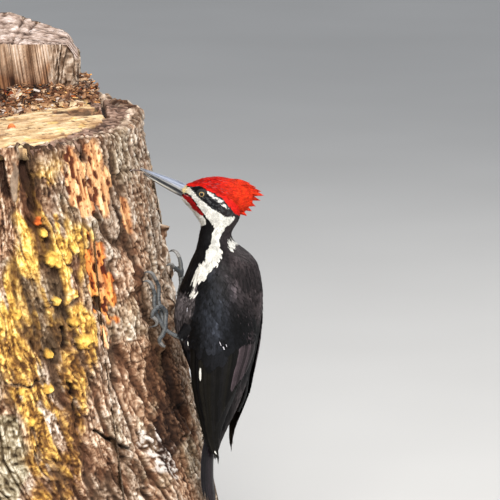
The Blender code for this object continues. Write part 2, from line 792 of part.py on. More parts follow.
def build_claw(side, number, toe_cutter):
    path = [Vector(on_bark(*place)) for place in CLAWS[side][number]]
    radii = [CLAW_RADIUS, CLAW_RADIUS * 0.85, CLAW_RADIUS * 0.5, CLAW_RADIUS * 0.15]
    claw = tube(f"claw_{side}_{number + 1}", path, radii, "claw")
    cut_by(claw, [toe_cutter])


def build_leg(side, cutters):
    """The feathered thigh, the bare tarsus and the foot of one side."""
    places = LEGS[side]
    hip = Vector(places["hip"])
    ankle = Vector(places["ankle"])
    joint = Vector(on_bark(*places["joint"]))
    path = [hip, hip.lerp(ankle, 0.5), hip.lerp(ankle, 0.94)]
    thigh = tube(f"thigh_{side}", path, THIGH_RADII, "black_feather", 3)
    thigh_cutter = clearance_mesh(thigh)
    cut_by(thigh, cutters)
    toe_cutters = build_foot(side, joint)
    sag = Vector((0.0, 0.0, -0.0010))
    path = [ankle, ankle.lerp(joint, 0.5) + sag, joint]
    radii = [ANKLE_RADIUS, TARSUS_RADIUS, TARSUS_RADIUS]
    tarsus = tube(f"tarsus_{side}", path, radii, "scaly_skin", 2)
    cut_by(tarsus, [thigh_cutter, *toe_cutters, *cutters])


def main():
    clear_scene()
    bpy.context.scene.unit_settings.system = "METRIC"
    build_stand()
    build_trunk()
    body, neck, head = build_flesh()
    build_bill()
    build_crest(head)
    body_cutter = clearance_mesh(body)
    wing_cutters = build_wings(body_cutter)
    build_tail([body_cutter, wing_cutters["left"][1], wing_cutters["right"][1]])
    for side in ("left", "right"):
        build_leg(side, [body_cutter, *wing_cutters[side]])


main()
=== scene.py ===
"""The looks of a male pileated woodpecker clinging to its cut length of trunk, on a plain display stand.

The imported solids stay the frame. Plumage, skin, horn, bark and stand are built here round the same
named measures as the solids, in metres, in the same directions: the bird's belly faces -X, its back
+X and its left side -Y, and the trunk stands on the Z axis.
"""

import math

import bpy
import numpy as np
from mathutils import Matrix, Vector
from mathutils.kdtree import KDTree


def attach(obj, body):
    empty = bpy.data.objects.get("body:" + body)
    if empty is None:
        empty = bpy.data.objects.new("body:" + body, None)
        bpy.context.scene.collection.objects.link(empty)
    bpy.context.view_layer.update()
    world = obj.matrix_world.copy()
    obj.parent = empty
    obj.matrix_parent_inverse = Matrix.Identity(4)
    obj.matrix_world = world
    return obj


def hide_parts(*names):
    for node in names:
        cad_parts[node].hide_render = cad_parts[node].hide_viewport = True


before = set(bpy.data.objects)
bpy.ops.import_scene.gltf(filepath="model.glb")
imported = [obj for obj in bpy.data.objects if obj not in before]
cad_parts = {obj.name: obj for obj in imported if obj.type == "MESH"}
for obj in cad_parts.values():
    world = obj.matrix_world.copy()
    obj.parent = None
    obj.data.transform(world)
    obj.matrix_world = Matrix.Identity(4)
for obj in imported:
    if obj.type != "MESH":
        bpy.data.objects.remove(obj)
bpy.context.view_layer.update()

# ------------------------------------------------------------------ measures shared with the solids

SECTIONS = np.array([  # x, z, half depth, half width, tilt, turn, from the tail base to the bill
    (0.2456, 0.2004, 0.0098, 0.0100, -13, 0),
    (0.2479, 0.2273, 0.0201, 0.0190, -11, 0),
    (0.2479, 0.2585, 0.0312, 0.0290, -6, 0),
    (0.2470, 0.2881, 0.0410, 0.0370, -3, 0),
    (0.2454, 0.3167, 0.0472, 0.0420, 0, 0),
    (0.2485, 0.3468, 0.0463, 0.0425, 1, 0),
    (0.2516, 0.3748, 0.0387, 0.0400, 2, 0),
    (0.2510, 0.3857, 0.0336, 0.0360, 2, 0),
    (0.2490, 0.3930, 0.0278, 0.0310, 2, 0),
    (0.2466, 0.3992, 0.0234, 0.0250, 1, 1),
    (0.2442, 0.4045, 0.0196, 0.0195, 0, 4),
    (0.2433, 0.4126, 0.0171, 0.0155, -2, 9),
    (0.2450, 0.4200, 0.0173, 0.0155, -5, 14),
    (0.2477, 0.4277, 0.0211, 0.0170, 5, 18),
    (0.2474, 0.4373, 0.0247, 0.0195, 18, 18),
    (0.2427, 0.4461, 0.0249, 0.0205, 31, 18),
    (0.2341, 0.4529, 0.0218, 0.0200, 46, 18),
    (0.2261, 0.4560, 0.0184, 0.0180, 56, 18),
    (0.2191, 0.4576, 0.0147, 0.0145, 62, 18),
    (0.2132, 0.4591, 0.0113, 0.0105, 65, 18),
    (0.2094, 0.4604, 0.0087, 0.0080, 65, 18),
])
NECK_END = 13.0  # the section at which the neck ends and the head begins
HEAD_TURN = math.radians(18)
HEAD_PIVOT = 0.24395
BILL_BASE = (0.20955, 0.46065)
BILL_PITCH = math.radians(25)
EYE_CENTRE = (0.2288, 0.4592)
EYE_RADIUS = 0.0048
EYE_SIDE = 0.0147
UPPER_BILL = np.array([  # forward, half width, cutting edge, ridge
    (0.0006, 0.0082, -0.0030, 0.0080),
    (0.0120, 0.0066, -0.0022, 0.0072),
    (0.0260, 0.0046, -0.0012, 0.0059),
    (0.0420, 0.0030, 0.0000, 0.0042),
    (0.0500, 0.0020, 0.0006, 0.0032),
    (0.0530, 0.0012, 0.0010, 0.0026),
])
LOWER_BILL = np.array([  # forward, half width, cutting edge, keel
    (0.0006, 0.0076, -0.0034, -0.0076),
    (0.0120, 0.0060, -0.0028, -0.0070),
    (0.0260, 0.0041, -0.0022, -0.0056),
    (0.0390, 0.0026, -0.0013, -0.0040),
    (0.0450, 0.0017, -0.0009, -0.0030),
    (0.0474, 0.0010, -0.0008, -0.0024),
])
CREST = np.array([  # x, top, bottom, half width
    (0.2150, 0.4686, 0.4650, 0.0035),
    (0.2225, 0.4716, 0.4610, 0.0085),
    (0.2330, 0.4744, 0.4560, 0.0135),
    (0.2450, 0.4753, 0.4500, 0.0165),
    (0.2570, 0.4737, 0.4430, 0.0160),
    (0.2660, 0.4712, 0.4380, 0.0125),
    (0.2740, 0.4674, 0.4370, 0.0080),
    (0.2805, 0.4630, 0.4440, 0.0040),
])
CREST_LOCKS = (  # x and z of the root, then of the tip, and half thickness at the root
    (0.2520, 0.4670, 0.2800, 0.4680, 0.0046),
    (0.2560, 0.4650, 0.2868, 0.4638, 0.0050),
    (0.2580, 0.4620, 0.2915, 0.4592, 0.0052),
    (0.2600, 0.4590, 0.2948, 0.4552, 0.0054),
    (0.2600, 0.4550, 0.2905, 0.4495, 0.0054),
    (0.2600, 0.4500, 0.2862, 0.4436, 0.0052),
    (0.2590, 0.4460, 0.2822, 0.4378, 0.0050),
    (0.2580, 0.4420, 0.2768, 0.4332, 0.0046),
)
WING_TOP = (
    (0.3880, 0.2500, 0.0340, 0.0360, 96, 104),
    (0.3824, 0.2505, 0.0362, 0.0385, 84, 116),
    (0.3737, 0.2515, 0.0395, 0.0425, 72, 126),
    (0.3408, 0.2478, 0.0478, 0.0470, 60, 150),
    (0.2969, 0.2456, 0.0466, 0.0458, 62, 168),
)
WING_LEVELS = {  # height, middle x, half depth, half width, front and rear angle
    -1: np.array(WING_TOP + (
        (0.2618, 0.2444, 0.0404, 0.0412, 58, 160),
        (0.2344, 0.2442, 0.0360, 0.0370, 61, 146),
        (0.2150, 0.2425, 0.0275, 0.0325, 69, 144),
        (0.1971, 0.2405, 0.0205, 0.0280, 78, 143),
        (0.1763, 0.2430, 0.0170, 0.0250, 92, 138),
        (0.1708, 0.2480, 0.0100, 0.0250, 115, 127),
    )),
    1: np.array(WING_TOP + (
        (0.2618, 0.2444, 0.0410, 0.0412, 58, 172),
        (0.2344, 0.2446, 0.0364, 0.0380, 66, 172),
        (0.2150, 0.2430, 0.0297, 0.0355, 92, 162),
        (0.1971, 0.2408, 0.0237, 0.0360, 112, 156),
        (0.1763, 0.2425, 0.0190, 0.0345, 110, 141),
        (0.1708, 0.2440, 0.0170, 0.0335, 119, 131),
    )),
}
COVERTS_END = 0.2950
SIDE_NAMES = {-1: "left", 1: "right"}
TAIL_ROOT, TAIL_TIP = 0.2250, 0.1050
TAIL_LINE = np.array([
    (0.2250, 0.2470),
    (0.2000, 0.2432),
    (0.1700, 0.2388),
    (0.1380, 0.2380),
    (0.1200, 0.2398),
    (0.1050, 0.2412),
])
TAIL_WIDTHS = np.array([
    (0.0, 0.0130), (0.3, 0.0160), (0.5, 0.0172), (0.7, 0.0190), (0.86, 0.0230), (1.0, 0.0200),
])
TAIL_ROOF = 0.0032
LEGS = {
    -1: ((0.2370, -0.0300, 0.3230), (0.2150, -0.0388, 0.3050), (-11.3, 0.3130, 0.0120)),
    1: ((0.2370, 0.0300, 0.3600), (0.2150, 0.0425, 0.3420), (13.0, 0.3555, 0.0110)),
}
TOES = {
    -1: (
        ((-10.0, 0.3300, 0.0080), (-9.1, 0.3425, 0.0060), (-7.8, 0.3560, 0.0065), (-9.8, 0.3655, 0.0068)),
        ((-12.3, 0.3270, 0.0062), (-12.2, 0.3400, 0.0050), (-11.4, 0.3500, 0.0055), (-12.4, 0.3580, 0.0060)),
        ((-10.1, 0.3315, 0.0140), (-12.8, 0.3385, 0.0125), (-16.3, 0.3350, 0.0100), (-16.0, 0.3290, 0.0066)),
        ((-12.6, 0.3070, 0.0095), (-13.2, 0.3030, 0.0062), (-12.8, 0.2995, 0.0050)),
    ),
    1: (
        ((13.0, 0.3635, 0.0125), (14.0, 0.3705, 0.0125), (15.0, 0.3755, 0.0115)),
        ((12.0, 0.3615, 0.0110), (10.8, 0.3655, 0.0090), (9.8, 0.3685, 0.0065)),
        ((16.0, 0.3600, 0.0110), (18.6, 0.3615, 0.0095), (21.0, 0.3600, 0.0060)),
        ((12.2, 0.3480, 0.0105), (11.7, 0.3420, 0.0085), (11.4, 0.3370, 0.0055)),
    ),
}
CLAWS = {
    -1: (
        ((-9.8, 0.3655, 0.0068), (-11.8, 0.3730, 0.0066), (-13.6, 0.3755, 0.0040), (-14.4, 0.3735, 0.0008)),
        ((-12.4, 0.3580, 0.0060), (-13.8, 0.3645, 0.0058), (-15.2, 0.3665, 0.0036), (-16.0, 0.3650, 0.0008)),
        ((-16.0, 0.3290, 0.0066), (-14.2, 0.3235, 0.0078), (-14.2, 0.3185, 0.0060), (-16.6, 0.3170, 0.0010)),
        ((-12.8, 0.2995, 0.0050), (-11.4, 0.2945, 0.0058), (-8.8, 0.2925, 0.0036), (-6.8, 0.2920, 0.0008)),
    ),
    1: (
        ((15.0, 0.3755, 0.0115), (15.4, 0.3810, 0.0092), (15.6, 0.3830, 0.0050), (15.6, 0.3815, 0.0008)),
        ((9.8, 0.3685, 0.0065), (8.9, 0.3715, 0.0060), (8.2, 0.3715, 0.0030), (8.1, 0.3700, 0.0008)),
        ((21.0, 0.3600, 0.0060), (22.6, 0.3590, 0.0056), (23.8, 0.3565, 0.0034), (24.2, 0.3545, 0.0008)),
        ((11.4, 0.3370, 0.0055), (11.1, 0.3315, 0.0056), (10.9, 0.3275, 0.0034), (10.9, 0.3260, 0.0008)),
    ),
}
THIGH_RADII = (0.0125, 0.0100, 0.0048)
TRUNK_FOOT = 0.060
SAW_HEIGHT, SAW_SLOPE, FACING = 0.5315, 0.078, math.radians(17)
SLAB_SETBACK, SLAB_RIGHT, SLAB_LEFT, SLAB_LEAN = 0.055, 0.081, -0.115, 0.010
SLAB_TOP, SLAB_RISE, SLAB_TWIST = 0.602, 0.255, 2.95
CORNER, CORNER_TILT = (0.0648, 0.6080), math.radians(55)
BASE_RADIUS, BASE_THICKNESS = 0.215, 0.018
ROD_RADIUS, ROD_SPREAD = 0.012, 0.080

# ------------------------------------------------------------------------------------ small tools


def catmull(rows, place):
    """Rows of a table at places between them, on a smooth curve through them."""
    place = np.clip(np.asarray(place, float), -0.4, len(rows) - 0.6)
    i = np.clip(np.floor(place).astype(int), 0, len(rows) - 2)
    t = place - i
    weights = 0.5 * np.stack([
        -t**3 + 2 * t**2 - t,
        3 * t**3 - 5 * t**2 + 2,
        -3 * t**3 + 4 * t**2 + t,
        t**3 - t**2,
    ], -1)
    near = np.clip(i[..., None] + np.array([-1, 0, 1, 2]), 0, len(rows) - 1)
    return (weights[..., None] * rows[near]).sum(-2)


def full_turn(count):
    """Angles once round, the last one a step short of the first."""
    return np.linspace(0, 2 * math.pi, count, endpoint=False)


def grid_of(first, second):
    """Both of a grid's coordinates, rows along the first."""
    return np.meshgrid(first, second, indexing="ij")


def smooth(low, high, value):
    t = np.clip((value - low) / (high - low), 0, 1)
    return t * t * (3 - 2 * t)


def mix(a, b, share):
    share = np.asarray(share)[..., None]
    return np.asarray(a) * (1 - share) + np.asarray(b) * share


def unit(vectors):
    return vectors / np.maximum(np.linalg.norm(vectors, axis=-1, keepdims=True), 1e-12)


def cell_values(ix, iy, iz, seed):
    """A fixed pseudo-random number in -1..1 for each cell of a lattice."""
    h = (ix.astype(np.uint32) * np.uint32(374761393) + iy.astype(np.uint32) * np.uint32(668265263)
         + iz.astype(np.uint32) * np.uint32(1274126177) + np.uint32(seed * 97 + 13))
    h ^= h >> np.uint32(13)
    h *= np.uint32(1540483477)
    h ^= h >> np.uint32(15)
    h *= np.uint32(2246822519)
    h ^= h >> np.uint32(14)
    return h.astype(np.float64) / 2147483648.0 - 1.0


def noise(x, y, z, seed=0):
    """Smooth noise in -1..1 with cells one unit wide."""
    x, y, z = np.broadcast_arrays(x, y, z)
    ix, iy, iz = (np.floor(v).astype(np.int64) for v in (x, y, z))
    fx, fy, fz = x - ix, y - iy, z - iz
    sx, sy, sz = (f * f * f * (f * (f * 6 - 15) + 10) for f in (fx, fy, fz))
    total = 0.0
    for dx in (0, 1):
        for dy in (0, 1):
            for dz in (0, 1):
                weight = (sx if dx else 1 - sx) * (sy if dy else 1 - sy) * (sz if dz else 1 - sz)
                total = total + weight * cell_values(ix + dx, iy + dy, iz + dz, seed)
    return total


def inside(polygon, u, v):
    """Whether each point lies inside the polygon."""
    found = np.zeros(np.shape(u), bool)
    for (u0, v0), (u1, v1) in zip(polygon, polygon[1:] + polygon[:1]):
        if v0 == v1:
            continue
        crosses = (v0 > v) != (v1 > v)
        found ^= crosses & (u < (u1 - u0) * (v - v0) / (v1 - v0) + u0)
    return found


class Shape:
    """Points, faces and their colours and maps, gathered into one mesh."""

    def __init__(self):
        self.points, self.tints, self.vanes, self.places = [], [], [], []
        self.faces = {3: [], 4: []}
        self.total = 0

    def add(self, points, faces, tint=(1.0, 1.0, 1.0), vane=None, place=None):
        points = np.asarray(points, float).reshape(-1, 3)
        count = len(points)
        for block in faces:
            self.faces[block.shape[1]].append(np.asarray(block) + self.total)
        self.points.append(points)
        self.tints.append(np.broadcast_to(np.asarray(tint, float), (count, 3)))
        for store, value in ((self.vanes, vane), (self.places, place)):
            store.append(np.zeros((count, 2)) if value is None else np.asarray(value).reshape(-1, 2))
        self.total += count

    def build(self, name, material, mapped=True):
        points = np.concatenate(self.points)
        blocks = [np.concatenate(self.faces[n]) for n in (3, 4) if self.faces[n]]
        loops = np.concatenate([b.ravel() for b in blocks]).astype(np.int32)
        sizes = np.concatenate([np.full(len(b), b.shape[1]) for b in blocks])
        mesh = bpy.data.meshes.new(name)
        mesh.vertices.add(len(points))
        mesh.vertices.foreach_set("co", points.astype(np.float32).ravel())
        mesh.loops.add(len(loops))
        mesh.loops.foreach_set("vertex_index", loops)
        mesh.polygons.add(len(sizes))
        mesh.polygons.foreach_set("loop_start", (np.cumsum(sizes) - sizes).astype(np.int32))
        maps = (("OFBake", self.places), ("Vane", self.vanes)) if mapped else (("Vane", self.vanes),)
        for title, values in maps:
            layer = mesh.uv_layers.new(name=title)
            layer.data.foreach_set("uv", np.concatenate(values)[loops].astype(np.float32).ravel())
        tint = np.concatenate([np.concatenate(self.tints), np.ones((len(points), 1))], 1)
        colours = mesh.color_attributes.new("tint", "FLOAT_COLOR", "POINT")
        colours.data.foreach_set("color", tint.astype(np.float32).ravel())
        mesh.update(calc_edges=True)
        mesh.shade_smooth()
        mesh.materials.append(material)
        obj = bpy.data.objects.new(name, mesh)
        bpy.context.scene.collection.objects.link(obj)
        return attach(obj, "root")


def grid_faces(rows, columns, closed):
    """Quads over a grid of points, joined round its columns where closed."""
    wide = columns if closed else columns - 1
    i, j = grid_of(np.arange(rows - 1), np.arange(wide))
    k = (j + 1) % columns
    return np.stack([i * columns + j, i * columns + k, (i + 1) * columns + k, (i + 1) * columns + j],
        -1).reshape(-1, 4)


def fan(ring, middle, turn):
    """Triangles from a ring of point numbers to a middle point."""
    other = np.roll(ring, -1)
    pair = (ring, other) if turn > 0 else (other, ring)
    return np.stack([*pair, np.full(len(ring), middle)], -1)


def add_rings(shape, rings, tint, flip=False, place=None):
    """A closed solid over a stack of rings, (n, k, 3), with its ends filled."""
    rows, columns = rings.shape[:2]
    points = np.concatenate([rings.reshape(-1, 3), rings[:1].mean(1), rings[-1:].mean(1)])
    quads = grid_faces(rows, columns, True)
    first = np.arange(columns)
    ends = [fan(first, rows * columns, -1), fan(first + (rows - 1) * columns, rows * columns + 1, 1)]
    faces = [quads, *ends]
    if flip:
        faces = [f[:, ::-1] for f in faces]
    if np.ndim(tint) == 3:
        tint = np.concatenate([tint.reshape(-1, 3), tint[:1].mean(1), tint[-1:].mean(1)])
    grid = np.stack(np.meshgrid(np.linspace(0, 1, columns), np.linspace(0, 1, rows)), -1)
    vane = np.concatenate([grid.reshape(-1, 2), [[0.5, 0.0], [0.5, 1.0]]])
    shape.add(points, faces, tint, vane, vane if place is None else place)


# ------------------------------------------------------------------------------ surfaces to cover


def turned(x, y, z, turn=HEAD_TURN):
    """Points of the head, drawn looking straight along -X, turned to where the bird looks."""
    dx = x - HEAD_PIVOT
    return np.stack(np.broadcast_arrays(
        HEAD_PIVOT + dx * np.cos(turn) - y * np.sin(turn),
        dx * np.sin(turn) + y * np.cos(turn),
        z,
    ), -1)


def flesh(place, angle, lift=0.0):
    """The bird's own surface: section number, angle from the back, and height over it."""
    x, z, depth, width, tilt, turn = np.moveaxis(catmull(SECTIONS, place), -1, 0)
    tilt, turn = np.radians(tilt), np.radians(turn)
    reach = (depth + lift) * np.cos(angle)
    side = (width + lift) * np.sin(angle)
    return turned(x + reach * np.cos(tilt), side, z + reach * np.sin(tilt), turn)


def wing_surface(sign):
    """The outside of a folded wing: height, share from its front to its rear edge, and lift."""
    rows = WING_LEVELS[sign]

    def at(height, share, lift=0.0):
        place = np.interp(-height, -rows[:, 0], np.arange(len(rows)))
        _, middle, depth, width, front, rear = np.moveaxis(catmull(rows, place), -1, 0)
        angle = np.radians(front + (rear - front) * share)
        x = middle - (depth + lift) * np.cos(angle)
        y = sign * (width + lift) * np.sin(angle)
        return np.stack(np.broadcast_arrays(x, y, height), -1)

    return at


def crest_surface(x, angle, lift=0.0):
    """The outside of the swept-back crest: x along the head, angle from its top, and lift."""
    rows = CREST
    place = np.interp(x, rows[:, 0], np.arange(len(rows)))
    _, top, bottom, width = np.moveaxis(catmull(rows, place), -1, 0)
    z = (top + bottom) / 2 + ((top - bottom) / 2 + lift) * np.cos(angle)
    return turned(x, (width + lift) * np.sin(angle), z)


def thigh_surface(sign):
    """The feathered thigh: share from hip to ankle, angle round it, and lift."""
    hip, ankle = (np.array(p) for p in LEGS[sign][:2])
    line = unit(ankle - hip)
    side = unit(np.cross(line, (0.0, 0.0, 1.0)))
    over = np.cross(side, line)

    def at(share, angle, lift=0.0):
        radius = np.interp(share, (0, 0.5, 0.94, 1.1), (*THIGH_RADII, 0.0032)) + lift
        middle = hip + (ankle - hip) * np.asarray(share)[..., None]
        around = np.cos(angle)[..., None] * over + np.sin(angle)[..., None] * side
        return middle + radius[..., None] * around

    return at


def tail_surface(height, side, lift=0.0):
    """The tail's outside: height, distance from its middle, and lift."""
    place = np.interp(-height, -TAIL_LINE[:, 0], np.arange(len(TAIL_LINE)))
    middle = catmull(TAIL_LINE, place)[..., 1]
    share = np.clip((TAIL_ROOT - height) / (TAIL_ROOT - TAIL_TIP), 0, 1)
    half = np.interp(share, TAIL_WIDTHS[:, 0], TAIL_WIDTHS[:, 1])
    x = middle + 0.0017 * (1 - 0.45 * share) + lift - TAIL_ROOF * (side / half) ** 2
    return np.stack(np.broadcast_arrays(x, side, height), -1)


# ------------------------------------------------------------------------------------- markings

MARK_AZIMUTH = math.radians(17)  # the markings are drawn on the bird's left, seen from a little behind
MARK_SLOPE = 0.1763  # and a little above
MARK_PLANE = 0.0731
FACE_WHITE = [
    (0.1973, 0.4663), (0.2055, 0.4639), (0.2120, 0.4561), (0.2178, 0.4502), (0.2225, 0.4455),
    (0.2295, 0.4407), (0.2348, 0.4372), (0.2389, 0.4354), (0.2441, 0.4318), (0.2488, 0.4330),
    (0.2538, 0.4318), (0.2535, 0.4300), (0.2500, 0.4259), (0.2471, 0.4229), (0.2430, 0.4193),
    (0.2418, 0.4153), (0.2319, 0.4153), (0.2319, 0.4193), (0.2295, 0.4241), (0.2272, 0.4259),
    (0.2237, 0.4294), (0.2196, 0.4360), (0.2137, 0.4443), (0.2091, 0.4509), (0.2061, 0.4556),
    (0.2009, 0.4580), (0.1956, 0.4633),
]
NECK_WHITE = [
    (0.2330, 0.4222), (0.2289, 0.4138), (0.2278, 0.4022), (0.2226, 0.3938), (0.2216, 0.3834),
    (0.2133, 0.3771), (0.2092, 0.3676), (0.2077, 0.3614), (0.2092, 0.3561), (0.2164, 0.3603),
    (0.2257, 0.3666), (0.2278, 0.3718), (0.2371, 0.3823), (0.2402, 0.3917), (0.2381, 0.3980),
    (0.2366, 0.4075), (0.2402, 0.4159), (0.2443, 0.4211),
]
BREAST_SPOT = [(0.2048, 0.3532), (0.2092, 0.3540), (0.2132, 0.3450), (0.2112, 0.3428), (0.2044, 0.3460)]
BROW_WHITE = [
    (0.2240, 0.4606), (0.2282, 0.4578), (0.2336, 0.4549), (0.2400, 0.4503), (0.2436, 0.4460),
    (0.2478, 0.4408), (0.2462, 0.4397), (0.2398, 0.4440), (0.2345, 0.4478), (0.2290, 0.4524),
    (0.2247, 0.4576),
]
MALAR_RED = [
    (0.1980, 0.4551), (0.2020, 0.4556), (0.2061, 0.4532), (0.2091, 0.4490), (0.2125, 0.4448),
    (0.2149, 0.4407), (0.2178, 0.4384), (0.2201, 0.4347), (0.2196, 0.4324), (0.2166, 0.4335),
    (0.2120, 0.4372), (0.2079, 0.4407), (0.2050, 0.4455), (0.2014, 0.4497), (0.1973, 0.4532),
]
THROAT_WHITE = [
    (0.1973, 0.4532), (0.2014, 0.4497), (0.2050, 0.4455), (0.2079, 0.4407), (0.2120, 0.4372),
    (0.2166, 0.4335), (0.2196, 0.4324), (0.2225, 0.4276), (0.2228, 0.4241), (0.2150, 0.4220),
    (0.1900, 0.4300), (0.1900, 0.4532),
]
CROWN_LINE = np.array([
    (0.1976, 0.4674), (0.2055, 0.4651), (0.2120, 0.4651), (0.2160, 0.4658), (0.2225, 0.4622),
    (0.2295, 0.4586), (0.2354, 0.4544), (0.2413, 0.4509), (0.2454, 0.4455), (0.2506, 0.4395),
    (0.2553, 0.4342), (0.2614, 0.4336),
])
FAR_WHITE = [
    (0.2455, 0.4044), (0.2474, 0.4076), (0.2518, 0.4068), (0.2570, 0.4036), (0.2545, 0.3998),
    (0.2511, 0.3945), (0.2479, 0.3961),
]
RED = np.array((0.72, 0.012, 0.006))
DARK_RED = np.array((0.30, 0.006, 0.008))
WHITE = np.array((0.80, 0.785, 0.725))
CREAM = np.array((0.80, 0.70, 0.42))
MASK_GREY = np.array((0.048, 0.049, 0.051))
BLACK = np.array((0.0042, 0.0041, 0.0050))
BROWN_BLACK = (0.0360, 0.0275, 0.0285)
# a painted blue highlight laid over the black feathers
BLUE_HIGHLIGHT = (0.0150, 0.0170, 0.0225)
BREAST_GREY = (0.1200, 0.1040, 0.1080)
LAVENDER = (0.52, 0.50, 0.54)


def profile(points):
    """Where points fall on the plane that the markings are drawn on."""
    x, y, z = np.moveaxis(points, -1, 0)
    near = x * math.sin(MARK_AZIMUTH) - y * math.cos(MARK_AZIMUTH)
    u = x * math.cos(MARK_AZIMUTH) + y * math.sin(MARK_AZIMUTH)
    return u, z + (MARK_PLANE - near) * MARK_SLOPE


def ragged(u, v, size):
    """The marking plane's coordinates, moved about so that edges drawn there come out ragged."""
    return u + size * noise(u * 900, v * 900, 0.5, 3), v + size * noise(u * 900, v * 900, 7.5, 4)


def white_marks(u, v):
    """Whether points lie in the white stripe down the neck or the spot at its end."""
    return inside(NECK_WHITE, u, v) | inside(BREAST_SPOT, u, v)


def markings(place, angle):
    """The plumage's colour at places of the flesh surface. Both sides carry the left side's pattern."""
    wrapped = np.arctan2(np.sin(angle), np.cos(angle))
    u, v = ragged(*profile(flesh(place, -np.abs(wrapped))), 0.0006)
    colour = np.broadcast_to(BLACK, (*np.shape(u), 3)).copy()
    speckle = noise(u * 520, v * 520, 3.5, 5)
    head = place > NECK_END - 1.2
    colour[head & (v > 0.433) & (speckle > 0.30)] = MASK_GREY
    colour[white_marks(u, v)] = WHITE
    face = inside(FACE_WHITE, u, v)
    colour[face] = mix(CREAM, WHITE, smooth(0.1985, 0.2090, u))[face]
    colour[inside(THROAT_WHITE, u, v) & head] = WHITE
    brow = inside(BROW_WHITE, u, v) & head
    colour[brow] = mix(WHITE, MASK_GREY, smooth(-0.05, 0.35, speckle))[brow]
    colour[inside(MALAR_RED, u, v) & head] = DARK_RED
    red = (v > np.interp(u, CROWN_LINE[:, 0], CROWN_LINE[:, 1])) & head
    colour[red] = RED
    own_u, own_v = ragged(*profile(flesh(place, angle)), 0.0010)
    colour[(np.cos(angle) > -0.2) & inside(FAR_WHITE, own_u, own_v)] = WHITE
    return colour


# ------------------------------------------------------------------------------------- materials


def new_material(name):
    material = bpy.data.materials.new(name)
    material.use_nodes = True
    tree = material.node_tree
    return material, tree, tree.nodes["Principled BSDF"]


def node(tree, kind, **settings):
    made = tree.nodes.new(kind)
    for key, value in settings.items():
        if key.startswith("in_"):
            made.inputs[int(key[3:])].default_value = value
        else:
            setattr(made, key, value)
    return made


def math_node(tree, operation, a, b=None):
    made = tree.nodes.new("ShaderNodeMath")
    made.operation = operation
    for socket, value in zip(made.inputs, (a, b)):
        if value is None:
            continue
        if hasattr(value, "links"):
            tree.links.new(value, socket)
        else:
            socket.default_value = value
    return made.outputs[0]


def mix_colours(tree, blend, factor, a, b):
    made = tree.nodes.new("ShaderNodeMix")
    made.data_type = "RGBA"
    made.blend_type = blend
    for socket, value in ((made.inputs[0], factor), (made.inputs[6], a), (made.inputs[7], b)):
        if hasattr(value, "links"):
            tree.links.new(value, socket)
        else:
            socket.default_value = value
    return made.outputs[2]


def noise_node(tree, scale, detail=3.0, rough=0.6, stretch=(1, 1, 1)):
    place = node(tree, "ShaderNodeTexCoord")
    mapping = node(tree, "ShaderNodeMapping")
    mapping.inputs["Scale"].default_value = stretch
    tree.links.new(place.outputs["Object"], mapping.inputs["Vector"])
    made = node(tree, "ShaderNodeTexNoise")
    made.inputs["Scale"].default_value = scale
    made.inputs["Detail"].default_value = detail
    made.inputs["Roughness"].default_value = rough
    tree.links.new(mapping.outputs[0], made.inputs["Vector"])
    return made.outputs["Fac"]


def ramp(tree, value, stops):
    made = node(tree, "ShaderNodeValToRGB")
    tree.links.new(value, made.inputs[0])
    points = made.color_ramp.elements
    while len(points) < len(stops):
        points.new(0.5)
    for point, (position, colour) in zip(points, stops):
        point.position = position
        point.color = (*colour, 1.0)
    return made.outputs[0]


def grey(value):
    return (value, value, value)


def bump(tree, shader, height, strength, distance):
    made = node(tree, "ShaderNodeBump")
    made.inputs["Strength"].default_value = strength
    made.inputs["Distance"].default_value = distance
    tree.links.new(height, made.inputs["Height"])
    tree.links.new(made.outputs[0], shader.inputs["Normal"])


def tint_of(tree):
    return node(tree, "ShaderNodeAttribute", attribute_name="tint").outputs["Color"]


def as_colour(tree, value):
    """A number as the grey with that number in all three channels."""
    made = node(tree, "ShaderNodeCombineColor")
    for socket in made.inputs:
        tree.links.new(value, socket)
    return made.outputs[0]


